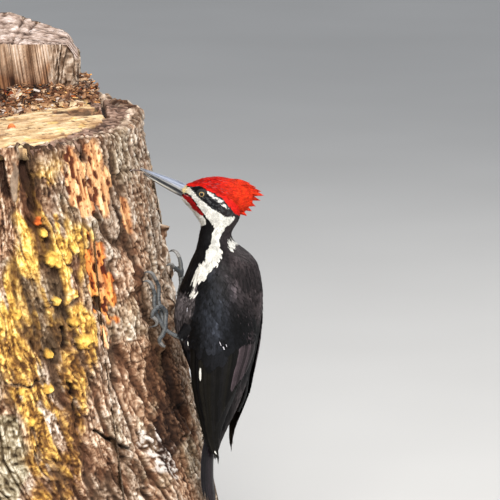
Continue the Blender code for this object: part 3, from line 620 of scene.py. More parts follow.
def plumage(name, barbs, rough, specular, streak=0.25, rim=1.0):
    """Feather vanes: barbs slant from the shaft to the edge, and the colour comes with the vane."""
    material, tree, shader = new_material(name)
    vane = node(tree, "ShaderNodeUVMap", uv_map="Vane")
    apart = node(tree, "ShaderNodeSeparateXYZ")
    tree.links.new(vane.outputs[0], apart.inputs[0])
    off = math_node(tree, "SUBTRACT", apart.outputs[0], 0.5)
    off = math_node(tree, "MULTIPLY", math_node(tree, "ABSOLUTE", off), 2.0)
    slant = math_node(tree, "SUBTRACT", apart.outputs[1], math_node(tree, "MULTIPLY", off, 0.22))
    wave = math_node(tree, "SINE", math_node(tree, "MULTIPLY", slant, barbs * 2 * math.pi))
    unit_wave = math_node(tree, "MULTIPLY_ADD", wave, 0.5)
    unit_wave.node.inputs[2].default_value = 0.5
    fine = noise_node(tree, 900.0, 2.0)
    broad = noise_node(tree, 120.0, 3.0)
    shade = math_node(tree, "MULTIPLY", math_node(tree, "MULTIPLY_ADD", unit_wave, streak), 1.0)
    shade.node.inputs[0].links[0].from_node.inputs[2].default_value = 1.0 - streak
    vary = ramp(tree, broad, ((0.3, grey(0.72)), (0.7, grey(1.25))))
    grain = ramp(tree, fine, ((0.3, grey(0.85)), (0.7, grey(1.15))))
    colour = mix_colours(tree, "MULTIPLY", 1.0, tint_of(tree), vary)
    colour = mix_colours(tree, "MULTIPLY", 1.0, colour, grain)
    colour = mix_colours(tree, "MULTIPLY", 1.0, colour, as_colour(tree, shade))
    shaft = ramp(tree, off, ((0.03, grey(0.62)), (0.10, grey(1.0))))
    colour = mix_colours(tree, "MULTIPLY", 1.0, colour, shaft)
    edge = math_node(tree, "MULTIPLY_ADD", math_node(tree, "POWER", off, 5.0), rim - 1)
    edge.node.inputs[2].default_value = 1.0
    colour = mix_colours(tree, "MULTIPLY", 1.0, colour, as_colour(tree, edge))
    tree.links.new(colour, shader.inputs["Base Color"])
    shader.inputs["Roughness"].default_value = rough
    shader.inputs["Specular IOR Level"].default_value = specular
    bump(tree, shader, unit_wave, 0.5, 0.00008)
    return material


# ----------------------------------------------------------------------------------------- vanes

CONTOUR = ((0.16, 0.62), (0.42, 1.0), (0.74, 0.86))
HAIRY = ((0.22, 0.8), (0.62, 0.9))
LANCE = ((0.12, 0.55), (0.36, 1.0), (0.66, 0.82), (0.88, 0.42))
SEEN_SHARE = 0.72  # how far down a feather the place lies whose marking it shows
LIFT_CURVE = 0.8  # how early a feather rises from its root's height to its tip's


def lay(shape, surface, start, end, half_width, lifts, tint, outline=CONTOUR, across=2, camber=0.25,
        thickness=0.00012, step=(0.01, 0.01), place=None):
    """Lay one closed vane from each start to each end on a surface, following its shape.

    Starts and ends are the surface's own coordinates, half widths are in metres, and lifts are the
    heights over the surface of the root and of the tip.
    """
    start, end = np.asarray(start, float), np.asarray(end, float)
    count, stations = len(start), len(outline)
    share, wide = np.array(outline).T
    half_width = np.broadcast_to(half_width, (count,))[:, None] * wide
    low, high = (np.broadcast_to(v, (count,)) for v in lifts)
    t = np.broadcast_to(share, (count, stations))
    path = start[:, None] + (end - start)[:, None] * t[..., None]
    base = low[:, None] + (high - low)[:, None] * t**LIFT_CURVE
    here = surface(path[..., 0], path[..., 1], base)
    along = np.linalg.norm(surface(path[..., 0] + step[0], path[..., 1], base) - here, axis=-1) / abs(step[0])
    aside = np.linalg.norm(surface(path[..., 0], path[..., 1] + step[1], base) - here, axis=-1) / abs(step[1])
    along, aside = np.maximum(along, 1e-7), np.maximum(aside, 1e-7)
    heading = (end - start)[:, None] * np.stack([along, aside], -1)
    heading = unit(heading)
    wise = np.stack([-heading[..., 1] / along, heading[..., 0] / aside], -1)
    s = np.linspace(-1, 1, across + 1)
    off = half_width[..., None] * s
    q = path[..., 0, None] + off * wise[..., 0, None]
    a = path[..., 1, None] + off * wise[..., 1, None]
    dome = camber * half_width[..., None] * (1 - s**2)
    swell = thickness / 2 * (1 - s**2)
    root, tip = (surface(p[:, 0], p[:, 1], h)[:, None] for p, h in ((start, low), (end, high)))
    sheets = []
    for sign in (1, -1):
        grid = surface(q, a, base[..., None] + dome + sign * swell)
        sheets.append(np.concatenate([root, grid.reshape(count, -1, 3), tip], 1))
    size = stations * (across + 1) + 2
    points = np.concatenate(sheets, 1)
    rows = 1 + np.arange(stations * (across + 1)).reshape(stations, across + 1)
    quads = np.stack([rows[:-1, :-1], rows[:-1, 1:], rows[1:, 1:], rows[1:, :-1]], -1).reshape(-1, 4)
    tris = np.concatenate([
        np.stack([np.zeros(across, int), rows[0, 1:], rows[0, :-1]], -1),
        np.stack([rows[-1, :-1], rows[-1, 1:], np.full(across, size - 1)], -1),
    ])
    middle = points[:, rows[stations // 2, across // 2]]
    outward = surface(*path[:, stations // 2].T, base[:, stations // 2] + 0.001) - surface(
        *path[:, stations // 2].T, base[:, stations // 2])
    corner = points[:, quads[0]] if len(quads) else points[:, tris[0]]
    facing = np.cross(corner[:, 1] - corner[:, 0], corner[:, 2] - corner[:, 0])
    if (facing * outward).sum(-1).mean() < 0:
        quads, tris = quads[:, ::-1], tris[:, ::-1]
    starts = (np.arange(count) * 2 * size)[:, None, None]
    faces = []
    for block in (quads, tris):
        both = np.concatenate([block, block[:, ::-1] + size])
        faces.append((both[None] + starts).reshape(-1, block.shape[1]))
    uv = np.concatenate([[[0.5, 0.0]], np.stack(np.meshgrid(0.5 + 0.5 * s, share), -1).reshape(-1, 2),
        [[0.5, 1.0]]])
    vane = np.broadcast_to(np.concatenate([uv, uv]), (count, 2 * size, 2))
    spot = unwrap(start) if place is None else place
    patch = spot[:, None] + (vane - 0.5) * 0.003
    tint = np.broadcast_to(np.asarray(tint, float), (count, 3))
    colour = np.broadcast_to(tint[:, None], (count, 2 * size, 3))
    shape.add(points, faces, colour.reshape(-1, 3), vane, patch)
    return middle


def unwrap(spots):
    """The surface's own coordinates, spread over the bake map."""
    low, high = spots.min(0), spots.max(0)
    return 0.004 + 0.992 * (spots - low)[:, ::-1] / np.maximum(high - low, 1e-9)[::-1]


def scatter(surface, first, second, spacing, rng, tries, keep=None):
    """Even random places on a surface, in its own coordinates, about one spacing apart."""
    spots = np.stack([rng.uniform(*first, tries), rng.uniform(*second, tries)], -1)
    points = surface(spots[:, 0], spots[:, 1], np.zeros(tries))
    cells = np.floor(points / spacing).astype(np.int64)
    _, index = np.unique(cells, axis=0, return_index=True)
    spots, points = spots[index], points[index]
    if keep is not None:
        good = keep(spots, points)
        spots, points = spots[good], points[good]
    return spots, points


def step_along(surface, spots, distance, step):
    """How far the first coordinate must change for a given distance over the surface."""
    zero = np.zeros(len(spots))
    here = surface(spots[:, 0], spots[:, 1], zero)
    there = surface(spots[:, 0] + step, spots[:, 1], zero)
    return distance * step / np.maximum(np.linalg.norm(there - here, axis=-1), 1e-7)


def step_aside(surface, spots, distance, step=0.01):
    zero = np.zeros(len(spots))
    here = surface(spots[:, 0], spots[:, 1], zero)
    there = surface(spots[:, 0], spots[:, 1] + step, zero)
    return distance * step / np.maximum(np.linalg.norm(there - here, axis=-1), 1e-7)


# ------------------------------------------------------------------------------ skin, eyes, lids


def coat_depth(place):
    return np.interp(place, (0, 6, 10, 13, 15, 18, 20),
        (0.0028, 0.0034, 0.0026, 0.0019, 0.0015, 0.0012, 0.0008))


def remeshed(obj, size, rounds):
    """The object's outside as one even mesh, softened."""
    remesh = obj.modifiers.new("join", "REMESH")
    remesh.mode = "VOXEL"
    remesh.voxel_size = size
    soften = obj.modifiers.new("soften", "SMOOTH")
    soften.iterations = rounds
    graph = bpy.context.evaluated_depsgraph_get()
    mesh = bpy.data.meshes.new_from_object(obj.evaluated_get(graph))
    bpy.data.objects.remove(obj, do_unlink=True)
    return mesh


def skin_core():
    """The flesh inside the coat: body, thighs, folded wings and crest base, still as one soup."""
    shape = Shape()
    place, angle = grid_of(np.linspace(0, 20.3, 110), full_turn(56))
    add_rings(shape, flesh(place, angle, -coat_depth(place)), BLACK)
    share, angle = grid_of(np.linspace(0, 0.98, 16), full_turn(20))
    for sign in (-1, 1):
        add_rings(shape, thigh_surface(sign)(share, angle, -0.0012), BLACK)
        surface = wing_surface(sign)
        across = np.linspace(0.03, 0.97, 24)
        height, side = grid_of(np.linspace(0.3850, 0.2150, 40), np.r_[across, across[::-1]])
        inset = np.where(np.arange(48) < 24, -0.0042, -0.0074)
        add_rings(shape, surface(height, side, inset), BLACK)
    x, angle = grid_of(np.linspace(0.2170, 0.2735, 30), full_turn(32))
    add_rings(shape, crest_surface(x, angle, -0.0024), RED)
    return shape


def paint_skin(mesh):
    """Give the skin the same markings as the coat over it."""
    places, angles = grid_of(np.linspace(0, 20.3, 260), np.linspace(-math.pi, math.pi, 120))
    points = flesh(places, angles, -coat_depth(places)).reshape(-1, 3)
    colours = markings(places, angles).reshape(-1, 3)
    x, around = grid_of(np.linspace(0.2170, 0.2735, 60), np.linspace(0, 2 * math.pi, 60))
    crest = crest_surface(x, around, -0.0024).reshape(-1, 3)
    points = np.concatenate([points, crest])
    colours = np.concatenate([colours, np.broadcast_to(RED, (len(crest), 3))])
    tree = KDTree(len(points))
    for i, point in enumerate(points):
        tree.insert(point, i)
    tree.balance()
    found = np.array([tree.find(v.co)[1] for v in mesh.vertices])
    tint = np.ones((len(mesh.vertices), 4))
    tint[:, :3] = colours[found] * 0.6
    layer = mesh.color_attributes.new("tint", "FLOAT_COLOR", "POINT")
    layer.data.foreach_set("color", tint.astype(np.float32).ravel())


def build_skin(materials):
    soup = skin_core().build("soup", materials["skin"], mapped=False)
    mesh = remeshed(soup, 0.0013, 4)
    paint_skin(mesh)
    mesh.materials.clear()
    mesh.materials.append(materials["skin"])
    mesh.shade_smooth()
    skin = bpy.data.objects.new("skin", mesh)
    bpy.context.scene.collection.objects.link(skin)
    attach(skin, "root")
    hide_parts("body", "neck", "head", "thigh_left", "thigh_right", "wing_left", "wing_right")


def eye_frame(sign):
    """The eye's middle and its directions: out of the head, forward and up."""
    centre = turned(EYE_CENTRE[0], sign * EYE_SIDE, EYE_CENTRE[1])
    aim = (EYE_CENTRE[0] - 0.10 * EYE_SIDE, sign * 2 * EYE_SIDE, EYE_CENTRE[1] + 0.05 * EYE_SIDE)
    out = unit(turned(*aim) - centre)
    ahead = unit(turned(HEAD_PIVOT - 0.1, 0.0, 0.0) - turned(HEAD_PIVOT, 0.0, 0.0))
    up = unit(np.cross(ahead, out))
    if up[2] < 0:
        up = -up
    ahead = unit(ahead - out * ahead.dot(out))
    return centre, out, ahead, up


PUPIL, IRIS = 0.00205, 0.00285  # radii


def build_eye(sign, materials):
    """An eyeball with its pupil and pale iris, and a slight bulge where the cornea is."""
    centre, out, ahead, up = eye_frame(sign)
    polar = np.concatenate([np.linspace(0.03, 0.95, 44), np.linspace(1.02, 3.08, 16)])
    around = full_turn(64)
    polar, around = grid_of(polar, around)
    radius = EYE_RADIUS + 0.00022 * (1 - smooth(0.25, 0.70, polar))
    off = radius * np.sin(polar)
    rings = centre + (radius * np.cos(polar))[..., None] * out + off[..., None] * (
        np.cos(around)[..., None] * ahead + np.sin(around)[..., None] * up)
    spokes = 0.5 + 0.5 * noise(np.cos(around) * 9, np.sin(around) * 9, off * 2500, 11)
    iris = mix((0.36, 0.19, 0.045), (0.66, 0.50, 0.22), smooth(PUPIL, IRIS, off) * 0.6 + 0.4 * spokes)
    tint = mix((0.003, 0.003, 0.003), iris, smooth(PUPIL - 0.00008, PUPIL + 0.00008, off))
    tint = mix(tint, (0.02, 0.015, 0.012), smooth(IRIS - 0.0001, IRIS + 0.0001, off))
    shape = Shape()
    add_rings(shape, rings, tint, flip=sign > 0)
    name = SIDE_NAMES[sign]
    eye = shape.build(f"eyeball_{name}", materials["eye"], mapped=False)
    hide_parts(f"eye_{name}")


LID_PROFILE = np.array([  # distance from the eye's axis, height over its middle
    (0.00240, 0.00395), (0.00262, 0.00412), (0.00282, 0.00424), (0.00306, 0.00424), (0.00330, 0.00408),
    (0.00352, 0.00384), (0.00372, 0.00374), (0.00395, 0.00374), (0.00420, 0.00356), (0.00450, 0.00322),
    (0.00485, 0.00300), (0.00530, 0.00262), (0.00590, 0.00190), (0.00560, 0.00120), (0.00300, 0.00120),
])


def build_lids(materials):
    """Thick bare lids round each eye, a little longer than high, with a crease behind the rim."""
    shape = Shape()
    for sign in (-1, 1):
        centre, out, ahead, up = eye_frame(sign)
        place, around = grid_of(np.linspace(0, 14, 57), full_turn(96))
        off, height = np.moveaxis(catmull(LID_PROFILE, place), -1, 0)
        stretch = 1 + 0.07 * np.cos(around) ** 2 - 0.03 * np.sin(around) ** 2
        creases = 0.00006 * np.sin(place * 5.5) * smooth(1.5, 4.0, place)
        beads = 0.00005 * np.sin(around * 34) * smooth(0.5, 2.0, place) * smooth(5.0, 3.0, place)
        off = off * stretch + beads
        points = centre + (height + creases + beads)[..., None] * out + off[..., None] * (
            np.cos(around)[..., None] * ahead + np.sin(around)[..., None] * up)
        tone = 0.010 + 0.020 * smooth(4.6, 2.6, place) * smooth(0.6, 2.0, place)
        tint = tone[..., None] * np.array((1.0, 0.98, 0.90))
        add_rings(shape, points, tint, flip=sign < 0)
    lids = shape.build("eyelids", materials["skin"], mapped=False)


# ------------------------------------------------------------------------------------------ bill

BILL_SIDE = np.array([
    (1.0, 0.0), (1.0, 0.10), (0.99, 0.22), (0.88, 0.42), (0.72, 0.62), (0.55, 0.78), (0.36, 0.90),
    (0.15, 0.975), (0.0, 1.0),
])


def bill_point(forward, side, up):
    x = BILL_BASE[0] - forward * math.cos(BILL_PITCH) + up * math.sin(BILL_PITCH)
    z = BILL_BASE[1] + forward * math.sin(BILL_PITCH) + up * math.cos(BILL_PITCH)
    return turned(x, side, z)


def mandible(rows, name, node_name, colour_of, material):
    """One half of the bill, with a ridge along its flank, from its rows of sections."""
    along = np.linspace(0, len(rows) - 1, 90)
    forward, width, edge, ridge = np.moveaxis(catmull(rows, along), -1, 0)
    half = catmull(BILL_SIDE, np.linspace(0, len(BILL_SIDE) - 1, 25))
    across = np.r_[half[:, 0], -half[-2::-1, 0]]
    rise = np.r_[half[:, 1], half[-2::-1, 1]]
    under = np.linspace(-0.9, 0.9, 11)
    across = np.r_[across, under]
    rise = np.r_[rise, 0.06 * (1 - under**2)]
    flank = np.exp(-((rise - 0.52) / 0.07) ** 2) - 0.6 * np.exp(-((rise - 0.38) / 0.07) ** 2)
    tip = np.clip((forward[-1] - forward) / 0.006, 0, 1)
    relief = 0.00022 * flank * (np.abs(across) < 0.97) * tip[:, None] * smooth(0.004, 0.012, forward)[:, None]
    grooves = 0.00005 * noise(forward[:, None] * 90, across * 9, rise * 12, 21)
    side = across * (width[:, None] + relief + grooves)
    up = edge[:, None] + rise * (ridge - edge)[:, None]
    rings = bill_point(forward[:, None] + 0 * side, side, up)
    tint = colour_of(forward[:, None] / forward[-1] + 0 * side, np.broadcast_to(rise, side.shape), side)
    shape = Shape()
    add_rings(shape, rings, tint, flip=ridge[0] > edge[0])
    made = shape.build(name, material, mapped=False)
    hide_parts(node_name)


def upper_colour(forward, rise, side):
    """Blue-grey horn with a painted highlight in a band below the ridge, over a thick black line along the
    gape: a dark cutting edge with painted shade of the gap between the mandibles.
    """
    streak = noise(forward * 9, rise * 30, side * 60, 31)
    tint = mix((0.085, 0.100, 0.145), (0.21, 0.24, 0.32), 0.5 + 0.8 * streak)
    # a painted highlight in a band below the ridge
    tint = mix(tint, (0.40, 0.44, 0.54), np.exp(-((rise - 0.72) / 0.07) ** 2) * 0.7)
    tint = mix(tint, (0.07, 0.08, 0.10), smooth(0.84, 0.98, rise) * 0.85)
    # the black gape line: a dark cutting edge, widened by painted shade of the gap between the mandibles
    tint = mix(tint, (0.008, 0.008, 0.010), smooth(0.50, 0.36, rise + 0.05 * streak))
    return mix(tint, (0.055, 0.050, 0.050), smooth(0.70, 1.0, forward) * 0.9)


def lower_colour(forward, rise, side):
    """Paler horn between the black gape, a dark edge with painted shade of the gap, and a dark keel,
    blue-black where it meets the chin.
    """
    streak = noise(forward * 9, rise * 26, side * 60, 32)
    tint = mix((0.36, 0.35, 0.32), (0.62, 0.60, 0.54), 0.5 + 0.6 * streak)
    # black along the cutting edge: a dark edge with painted shade of the gap
    tint = mix(tint, (0.010, 0.010, 0.012), smooth(0.22, 0.10, rise))
    tint = mix(tint, (0.040, 0.040, 0.046), smooth(0.62, 0.80, rise) * 0.92)
    tint = mix(tint, (0.050, 0.055, 0.070), smooth(0.24, 0.04, forward) * 0.9)
    return mix(tint, (0.060, 0.054, 0.052), smooth(0.72, 1.0, forward))


def bill_cover(forward, angle, lift):
    """The upper half of the bill's outside as a surface: distance from its base, and angle from its ridge."""
    place = np.interp(forward, UPPER_BILL[:, 0], np.arange(len(UPPER_BILL)))
    _, width, edge, ridge = np.moveaxis(catmull(UPPER_BILL, place), -1, 0)
    side = (width + lift) * np.sin(angle)
    up = edge + (ridge - edge + lift) * np.cos(angle)
    return bill_point(np.asarray(forward), side, up)


def build_nasal_tufts(materials, rng):
    """Bristly cream feathers that lie forward over the nostrils."""
    shape = Shape()
    count = 260
    sign = np.where(np.arange(count) % 2, 1, -1)
    angle = sign * rng.uniform(0.60, 1.32, count)
    start = np.stack([rng.uniform(-0.0045, -0.0008, count), angle], -1)
    length = rng.uniform(0.0022, 0.0046, count) * (1.3 - 0.9 * np.abs(np.abs(angle) - 1.15))
    end = start + np.stack([length, rng.normal(0, 0.09, count)], -1)
    tint = mix(CREAM, (0.62, 0.42, 0.16), rng.uniform(0, 1.0, count))
    lay(shape, bill_cover, start, end, rng.uniform(0.00016, 0.00032, count), (-0.0002, 0.0006), tint, HAIRY,
        step=(0.001, 0.01), place=rng.uniform(0.1, 0.9, (count, 2)))
    tufts = shape.build("nasal_tufts", materials["coat"])


TONGUE_REACH, TONGUE_RADIUS = 0.012, 0.00055


def build_tongue(materials):
    """The tip of the long thin tongue, out of the bill and along the bark, with its fine barbs."""
    tip = bill_point(UPPER_BILL[-1, 0] - 0.004, 0.0, 0.0002)
    turn = math.atan2(tip[1], tip[0])
    bark = float(trunk_radius(turn, tip[2])) + 0.0012
    place = np.linspace(0, 1, 60)
    around = turn - TONGUE_REACH * 0.9 * np.maximum(place - 0.25, 0) / 0.75 / bark
    reach = np.hypot(tip[0], tip[1]) + (bark - np.hypot(tip[0], tip[1])) * smooth(0.0, 0.45, place)
    height = tip[2] + 0.0016 * np.sin(place * 2.4)
    path = np.stack([reach * np.cos(around), reach * np.sin(around), height], -1)
    radii = TONGUE_RADIUS * (1 - 0.75 * place**2)
    angle = full_turn(12)
    barbs = (
        1 + 0.30 * smooth(0.55, 0.75, place)[:, None] * (np.arange(60) % 2)[:, None]
        * np.abs(np.sin(angle * 2))
    )
    rings = tube_rings(path, radii[:, None] * barbs, 12, off_trunk)
    tint = mix((0.10, 0.060, 0.058), (0.42, 0.34, 0.30), smooth(0.3, 1.0, place))
    shape = Shape()
    add_rings(shape, rings, np.broadcast_to(tint[:, None], (60, 12, 3)), flip=True)
    shape.build("tongue", materials["scales"], mapped=False)


# ------------------------------------------------------------------------------------------ coat


def clear_of_eyes(points, radius):
    good = np.ones(len(points), bool)
    for sign in (-1, 1):
        centre, out, _, _ = eye_frame(sign)
        reach = points - centre
        off = np.linalg.norm(reach - (reach @ out)[:, None] * out, axis=1)
        good &= (off > radius) | (reach @ out < 0)
    return good


def wing_hides(points, margin):
    """Whether points of the body lie well under a folded wing."""
    hidden = np.zeros(len(points), bool)
    for sign in (-1, 1):
        rows = WING_LEVELS[sign]
        place = np.interp(-points[:, 2], -rows[:, 0], np.arange(len(rows)))
        _, middle, _, _, front, rear = catmull(rows, place).T
        angle = np.degrees(np.arctan2(sign * points[:, 1], middle - points[:, 0]))
        within = (angle > front + margin) & (angle < rear - margin)
        hidden |= within & (points[:, 2] > 0.2) & (points[:, 2] < 0.378)
    return hidden


def lustre(points, rng, colour):
    """Black feathers vary from blue-black on the flank, a painted blue highlight, to brown on the back, under
    soft patches of painted highlight; others just vary a little.
    """
    u, v = profile(points)
    dark = colour.max(1) < 0.02
    brown = smooth(0.226, 0.256, u) * smooth(0.31, 0.345, v) + smooth(0.245, 0.262, u) * smooth(0.27, 0.24, v)
    # a painted blue highlight over the middle of the flank
    blue = np.exp(-(((u - 0.234) / 0.020) ** 2 + ((v - 0.325) / 0.040) ** 2))
    breast = (
        smooth(0.0016, -0.0016, u - 0.2009 - 0.21 * (v - 0.2969)) * smooth(0.364, 0.352, v)
        * smooth(0.296, 0.309, v)
    )
    tone_and_sheen = mix(mix(BLACK, BROWN_BLACK, np.clip(brown, 0, 1)), BLUE_HIGHLIGHT, blue)
    tone_and_sheen = mix(tone_and_sheen, BREAST_GREY, breast)
    # soft patches of painted highlight over the body, below the head
    highlight_cloud = noise(u * 95, v * 48, 2.5, 6) + 0.5 * noise(u * 260, v * 120, 5.5, 7)
    plain = smooth(0.405, 0.385, v)
    tone_and_sheen = tone_and_sheen * np.exp(1.5 * highlight_cloud * plain)[:, None]
    out = np.where(dark[:, None], tone_and_sheen, colour)
    spread = np.where(dark, 0.30 + 0.35 * plain, 0.20)
    return out * (1 + spread * rng.uniform(-1.0, 1.0, len(points)))[:, None]


def cover_flesh(shape, first, spacing, tries, length, slim, rng, keep, outline=CONTOUR, tip=0.0002,
        wander=0.14):
    """Feathers over a stretch of the flesh, lying from the bill towards the tail."""
    spots, points = scatter(flesh, first, (-math.pi, math.pi), spacing, rng, tries, keep)
    size = np.interp(spots[:, 0], *length) * rng.uniform(0.82, 1.18, len(spots))
    end = spots.copy()
    end[:, 0] += step_along(flesh, spots, size, -0.05)
    end[:, 1] += step_aside(flesh, spots, size * rng.normal(0, wander, len(spots)))
    end[:, 0] = np.maximum(end[:, 0], -0.35)
    seen = spots + SEEN_SHARE * (end - spots)
    seen = markings(seen[:, 0], seen[:, 1])
    tint = lustre(points, rng, seen)
    lift = tip + rng.normal(0, 0.00018, len(spots))
    lay(shape, flesh, spots, end, size * slim, (-0.9 * coat_depth(spots[:, 0]), lift), tint, outline,
        step=(-0.02, 0.01))
    return points


def on_crest(spots, points):
    """Whether points of the head lie inside the crest."""
    local = turned(points[:, 0], points[:, 1], points[:, 2], -HEAD_TURN)
    place = np.interp(local[:, 0], CREST[:, 0], np.arange(len(CREST)))
    _, top, bottom, width = catmull(CREST, place).T
    middle, half = (top + bottom) / 2, (top - bottom) / 2
    share = ((local[:, 2] - middle) / half) ** 2 + (local[:, 1] / width) ** 2
    return (share < 0.72) & (local[:, 0] > 0.216) & (spots[:, 0] > NECK_END)


def build_head_coat(materials, rng):
    shape = Shape()
    cover_flesh(
        shape, (13.6, 20.3), 0.00100, 90000,
        ((13.6, 15, 17, 19, 20.3), (0.0056, 0.0048, 0.0040, 0.0030, 0.0018)), 0.13, rng,
        lambda spots, points: clear_of_eyes(points, 0.0042) & ~on_crest(spots, points), HAIRY, 0.0001, 0.10,
    )
    coat = shape.build("head_coat", materials["coat"])


def build_neck_coat(materials, rng):
    shape = Shape()
    cover_flesh(
        shape, (9.0, 14.4), 0.00135, 60000,
        ((9, 11, 13, 14.4), (0.0105, 0.0090, 0.0070, 0.0056)), 0.12, rng,
        lambda spots, points: ~on_crest(spots, points), CONTOUR, 0.0003, 0.12,
    )
    coat = shape.build("neck_coat", materials["coat"])


def build_body_coat(materials, rng):
    for name, front in (("belly_coat", True), ("back_coat", False)):
        shape = Shape()

        def keep(spots, points):
            belly = np.cos(spots[:, 1]) < 0
            return (belly == front) & ~wing_hides(points, 10)

        cover_flesh(
            shape, (0.0, 9.6), 0.0024 if front else 0.0030, 60000,
            ((0, 3, 7, 9.6), (0.016, 0.015, 0.0145, 0.0115)), 0.13 if front else 0.17, rng, keep, CONTOUR,
            0.0003, 0.12,
        )
        coat = shape.build(name, materials["coat"])


def build_thigh_coat(materials, rng):
    shape = Shape()
    for sign in (-1, 1):
        surface = thigh_surface(sign)
        spots, _ = scatter(surface, (0.0, 0.93), (-math.pi, math.pi), 0.0019, rng, 5000)
        size = rng.uniform(0.006, 0.009, len(spots)) * (1.1 - 0.5 * spots[:, 0])
        end = spots.copy()
        end[:, 0] = np.minimum(end[:, 0] + step_along(surface, spots, size, 0.05), 1.10)
        end[:, 1] += rng.normal(0, 0.10, len(spots))
        tint = np.broadcast_to(BLACK * 1.3, (len(spots), 3)) * rng.uniform(0.8, 1.6, len(spots))[:, None]
        lay(shape, surface, spots, end, size * 0.13, (-0.0014, 0.0003), tint, step=(0.02, 0.02))
    coat = shape.build("thigh_coat", materials["coat"])


# ----------------------------------------------------------------------------------------- crest


def lock_surface(row, number):
    """One pointed lock of the crest: share from root to tip, angle round it, and lift."""
    x, z, tip_x, tip_z, half = row
    lean = 0.0012 * (-1) ** number
    line = unit(np.array(turned(tip_x, lean, tip_z)) - turned(x, 0.0, z))
    side = unit(np.cross(line, (0.0, 0.0, 1.0)))
    over = np.cross(side, line)

    def at(share, angle, lift=0.0):
        share = np.asarray(share, float)
        drop = 0.0016 * np.sin(math.pi * np.clip(share, 0, 1))
        middle = turned(x + (tip_x - x) * share, lean * share, z + (tip_z - z) * share + drop)
        radius = half * np.interp(share, (0, 0.3, 0.65, 1.0), (0.7, 1.0, 0.75, 0.08)) + lift
        around = np.cos(angle)[..., None] * over + np.sin(angle)[..., None] * side
        return middle + radius[..., None] * around

    return at


def red_tint(count, rng, glint):
    """Scarlet, towards orange where a glint is painted, with darker and paler hairs among it elsewhere."""
    glint = np.broadcast_to(glint, (count,))
    # the painted glint turns the scarlet towards orange
    tint = mix(RED, (0.86, 0.055, 0.008), glint * rng.uniform(0.2, 1.0, count))
    odd = rng.uniform(0, 1, count)
    tint = mix(tint, DARK_RED, (odd < 0.24) * (1 - glint) * 0.85)
    tint = mix(tint, (0.55, 0.13, 0.13), (odd > 0.90) * (1 - glint) * 0.7)
    return tint * rng.uniform(0.62, 1.18, count)[:, None]


def build_crest(materials, rng):
    shape = Shape()
    spots, _ = scatter(crest_surface, (0.2152, 0.2785), (-math.pi, math.pi), 0.00105, rng, 60000)
    size = np.interp(spots[:, 0], (0.215, 0.230, 0.26), (0.0050, 0.0085, 0.0120))
    size = size * rng.uniform(0.8, 1.25, len(spots))
    end = spots.copy()
    end[:, 0] = np.minimum(end[:, 0] + step_along(crest_surface, spots, size, 0.001), 0.2835)
    end[:, 1] += step_aside(crest_surface, spots, size * rng.normal(0.0, 0.10, len(spots)), 0.02)
    # the rear of the crest carries the painted orange glint
    tint = red_tint(len(spots), rng, smooth(0.232, 0.262, spots[:, 0]))
    lift = 0.0002 + rng.normal(0, 0.00022, len(spots)) + 0.0005 * smooth(0.245, 0.275, spots[:, 0])
    lay(shape, crest_surface, spots, end, size * 0.060, (-0.0020, lift), tint, LANCE, step=(0.0005, 0.02))
    coat = shape.build("crest_coat", materials["crest"])
    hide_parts("crest")
    shape = Shape()
    for number, row in enumerate(CREST_LOCKS):
        surface = lock_surface(row, number)
        count = 190
        start = np.stack([rng.uniform(-0.25, 0.72, count), rng.uniform(-math.pi, math.pi, count)], -1)
        end = start.copy()
        end[:, 0] = np.minimum(start[:, 0] + rng.uniform(0.30, 0.48, count), rng.uniform(0.90, 1.06, count))
        end[:, 1] += rng.normal(0, 0.25, count)
        tint = red_tint(count, rng, 0.9)
        width = rng.uniform(0.00032, 0.00062, count)
        lay(shape, surface, start, end, width, (-0.0010, 0.0001), tint, LANCE, step=(0.02, 0.05))
    locks = shape.build("crest_locks", materials["crest"])


# ----------------------------------------------------------------------------- wings and tail

FLIGHT = tuple((t, w) for t, w in (
    (0.03, 0.40), (0.08, 0.62), (0.15, 0.80), (0.25, 0.93), (0.36, 1.0), (0.48, 1.0), (0.60, 0.97),
    (0.70, 0.90), (0.79, 0.80), (0.86, 0.68), (0.92, 0.52), (0.96, 0.36), (0.985, 0.20),
))
TERTIAL_ROOT = 0.3360
PRIMARY = tuple((t, w * (1 - 0.50 * t**4)) for t, w in FLIGHT)
PRIMARY_TIPS = (0.1760, 0.1700, 0.1660, 0.1634, 0.1626, 0.1645, 0.1705, 0.1800, 0.1900)
RIGHT_TIP_RISE = 0.0036
COVERT = ((0.10, 0.60), (0.28, 0.92), (0.48, 1.0), (0.68, 0.96), (0.84, 0.76), (0.94, 0.48))
WING_MARKS = (  # pale edges that show on the folded feathers: root, tip, half width, colour
    ((0.2740, 0.228), (0.2585, 0.243), 0.0011, WHITE), ((0.1785, 0.46), (0.1745, 0.50), 0.0006, WHITE),
    ((0.3040, 0.45), (0.2990, 0.47), 0.0004, LAVENDER), ((0.2985, 0.49), (0.2945, 0.51), 0.0005, LAVENDER),
    ((0.3010, 0.53), (0.2975, 0.54), 0.0003, LAVENDER), ((0.3390, 0.02), (0.3335, 0.03), 0.0004, LAVENDER),
    ((0.3020, 0.02), (0.2965, 0.03), 0.0005, WHITE),
)
TAIL_VANE = (
    (0.04, 0.55), (0.12, 0.80), (0.24, 0.96), (0.38, 1.0), (0.52, 1.0), (0.64, 0.94), (0.74, 0.84),
    (0.82, 0.70), (0.88, 0.56), (0.93, 0.42), (0.97, 0.26), (0.99, 0.14),
)


SHAFT_REACH = 0.97  # of the vane's length
SHAFT_STATIONS, SHAFT_AROUND = 24, 6
LONG_ACROSS, LONG_CAMBER, LONG_THICKNESS = 6, 0.10, 0.0003


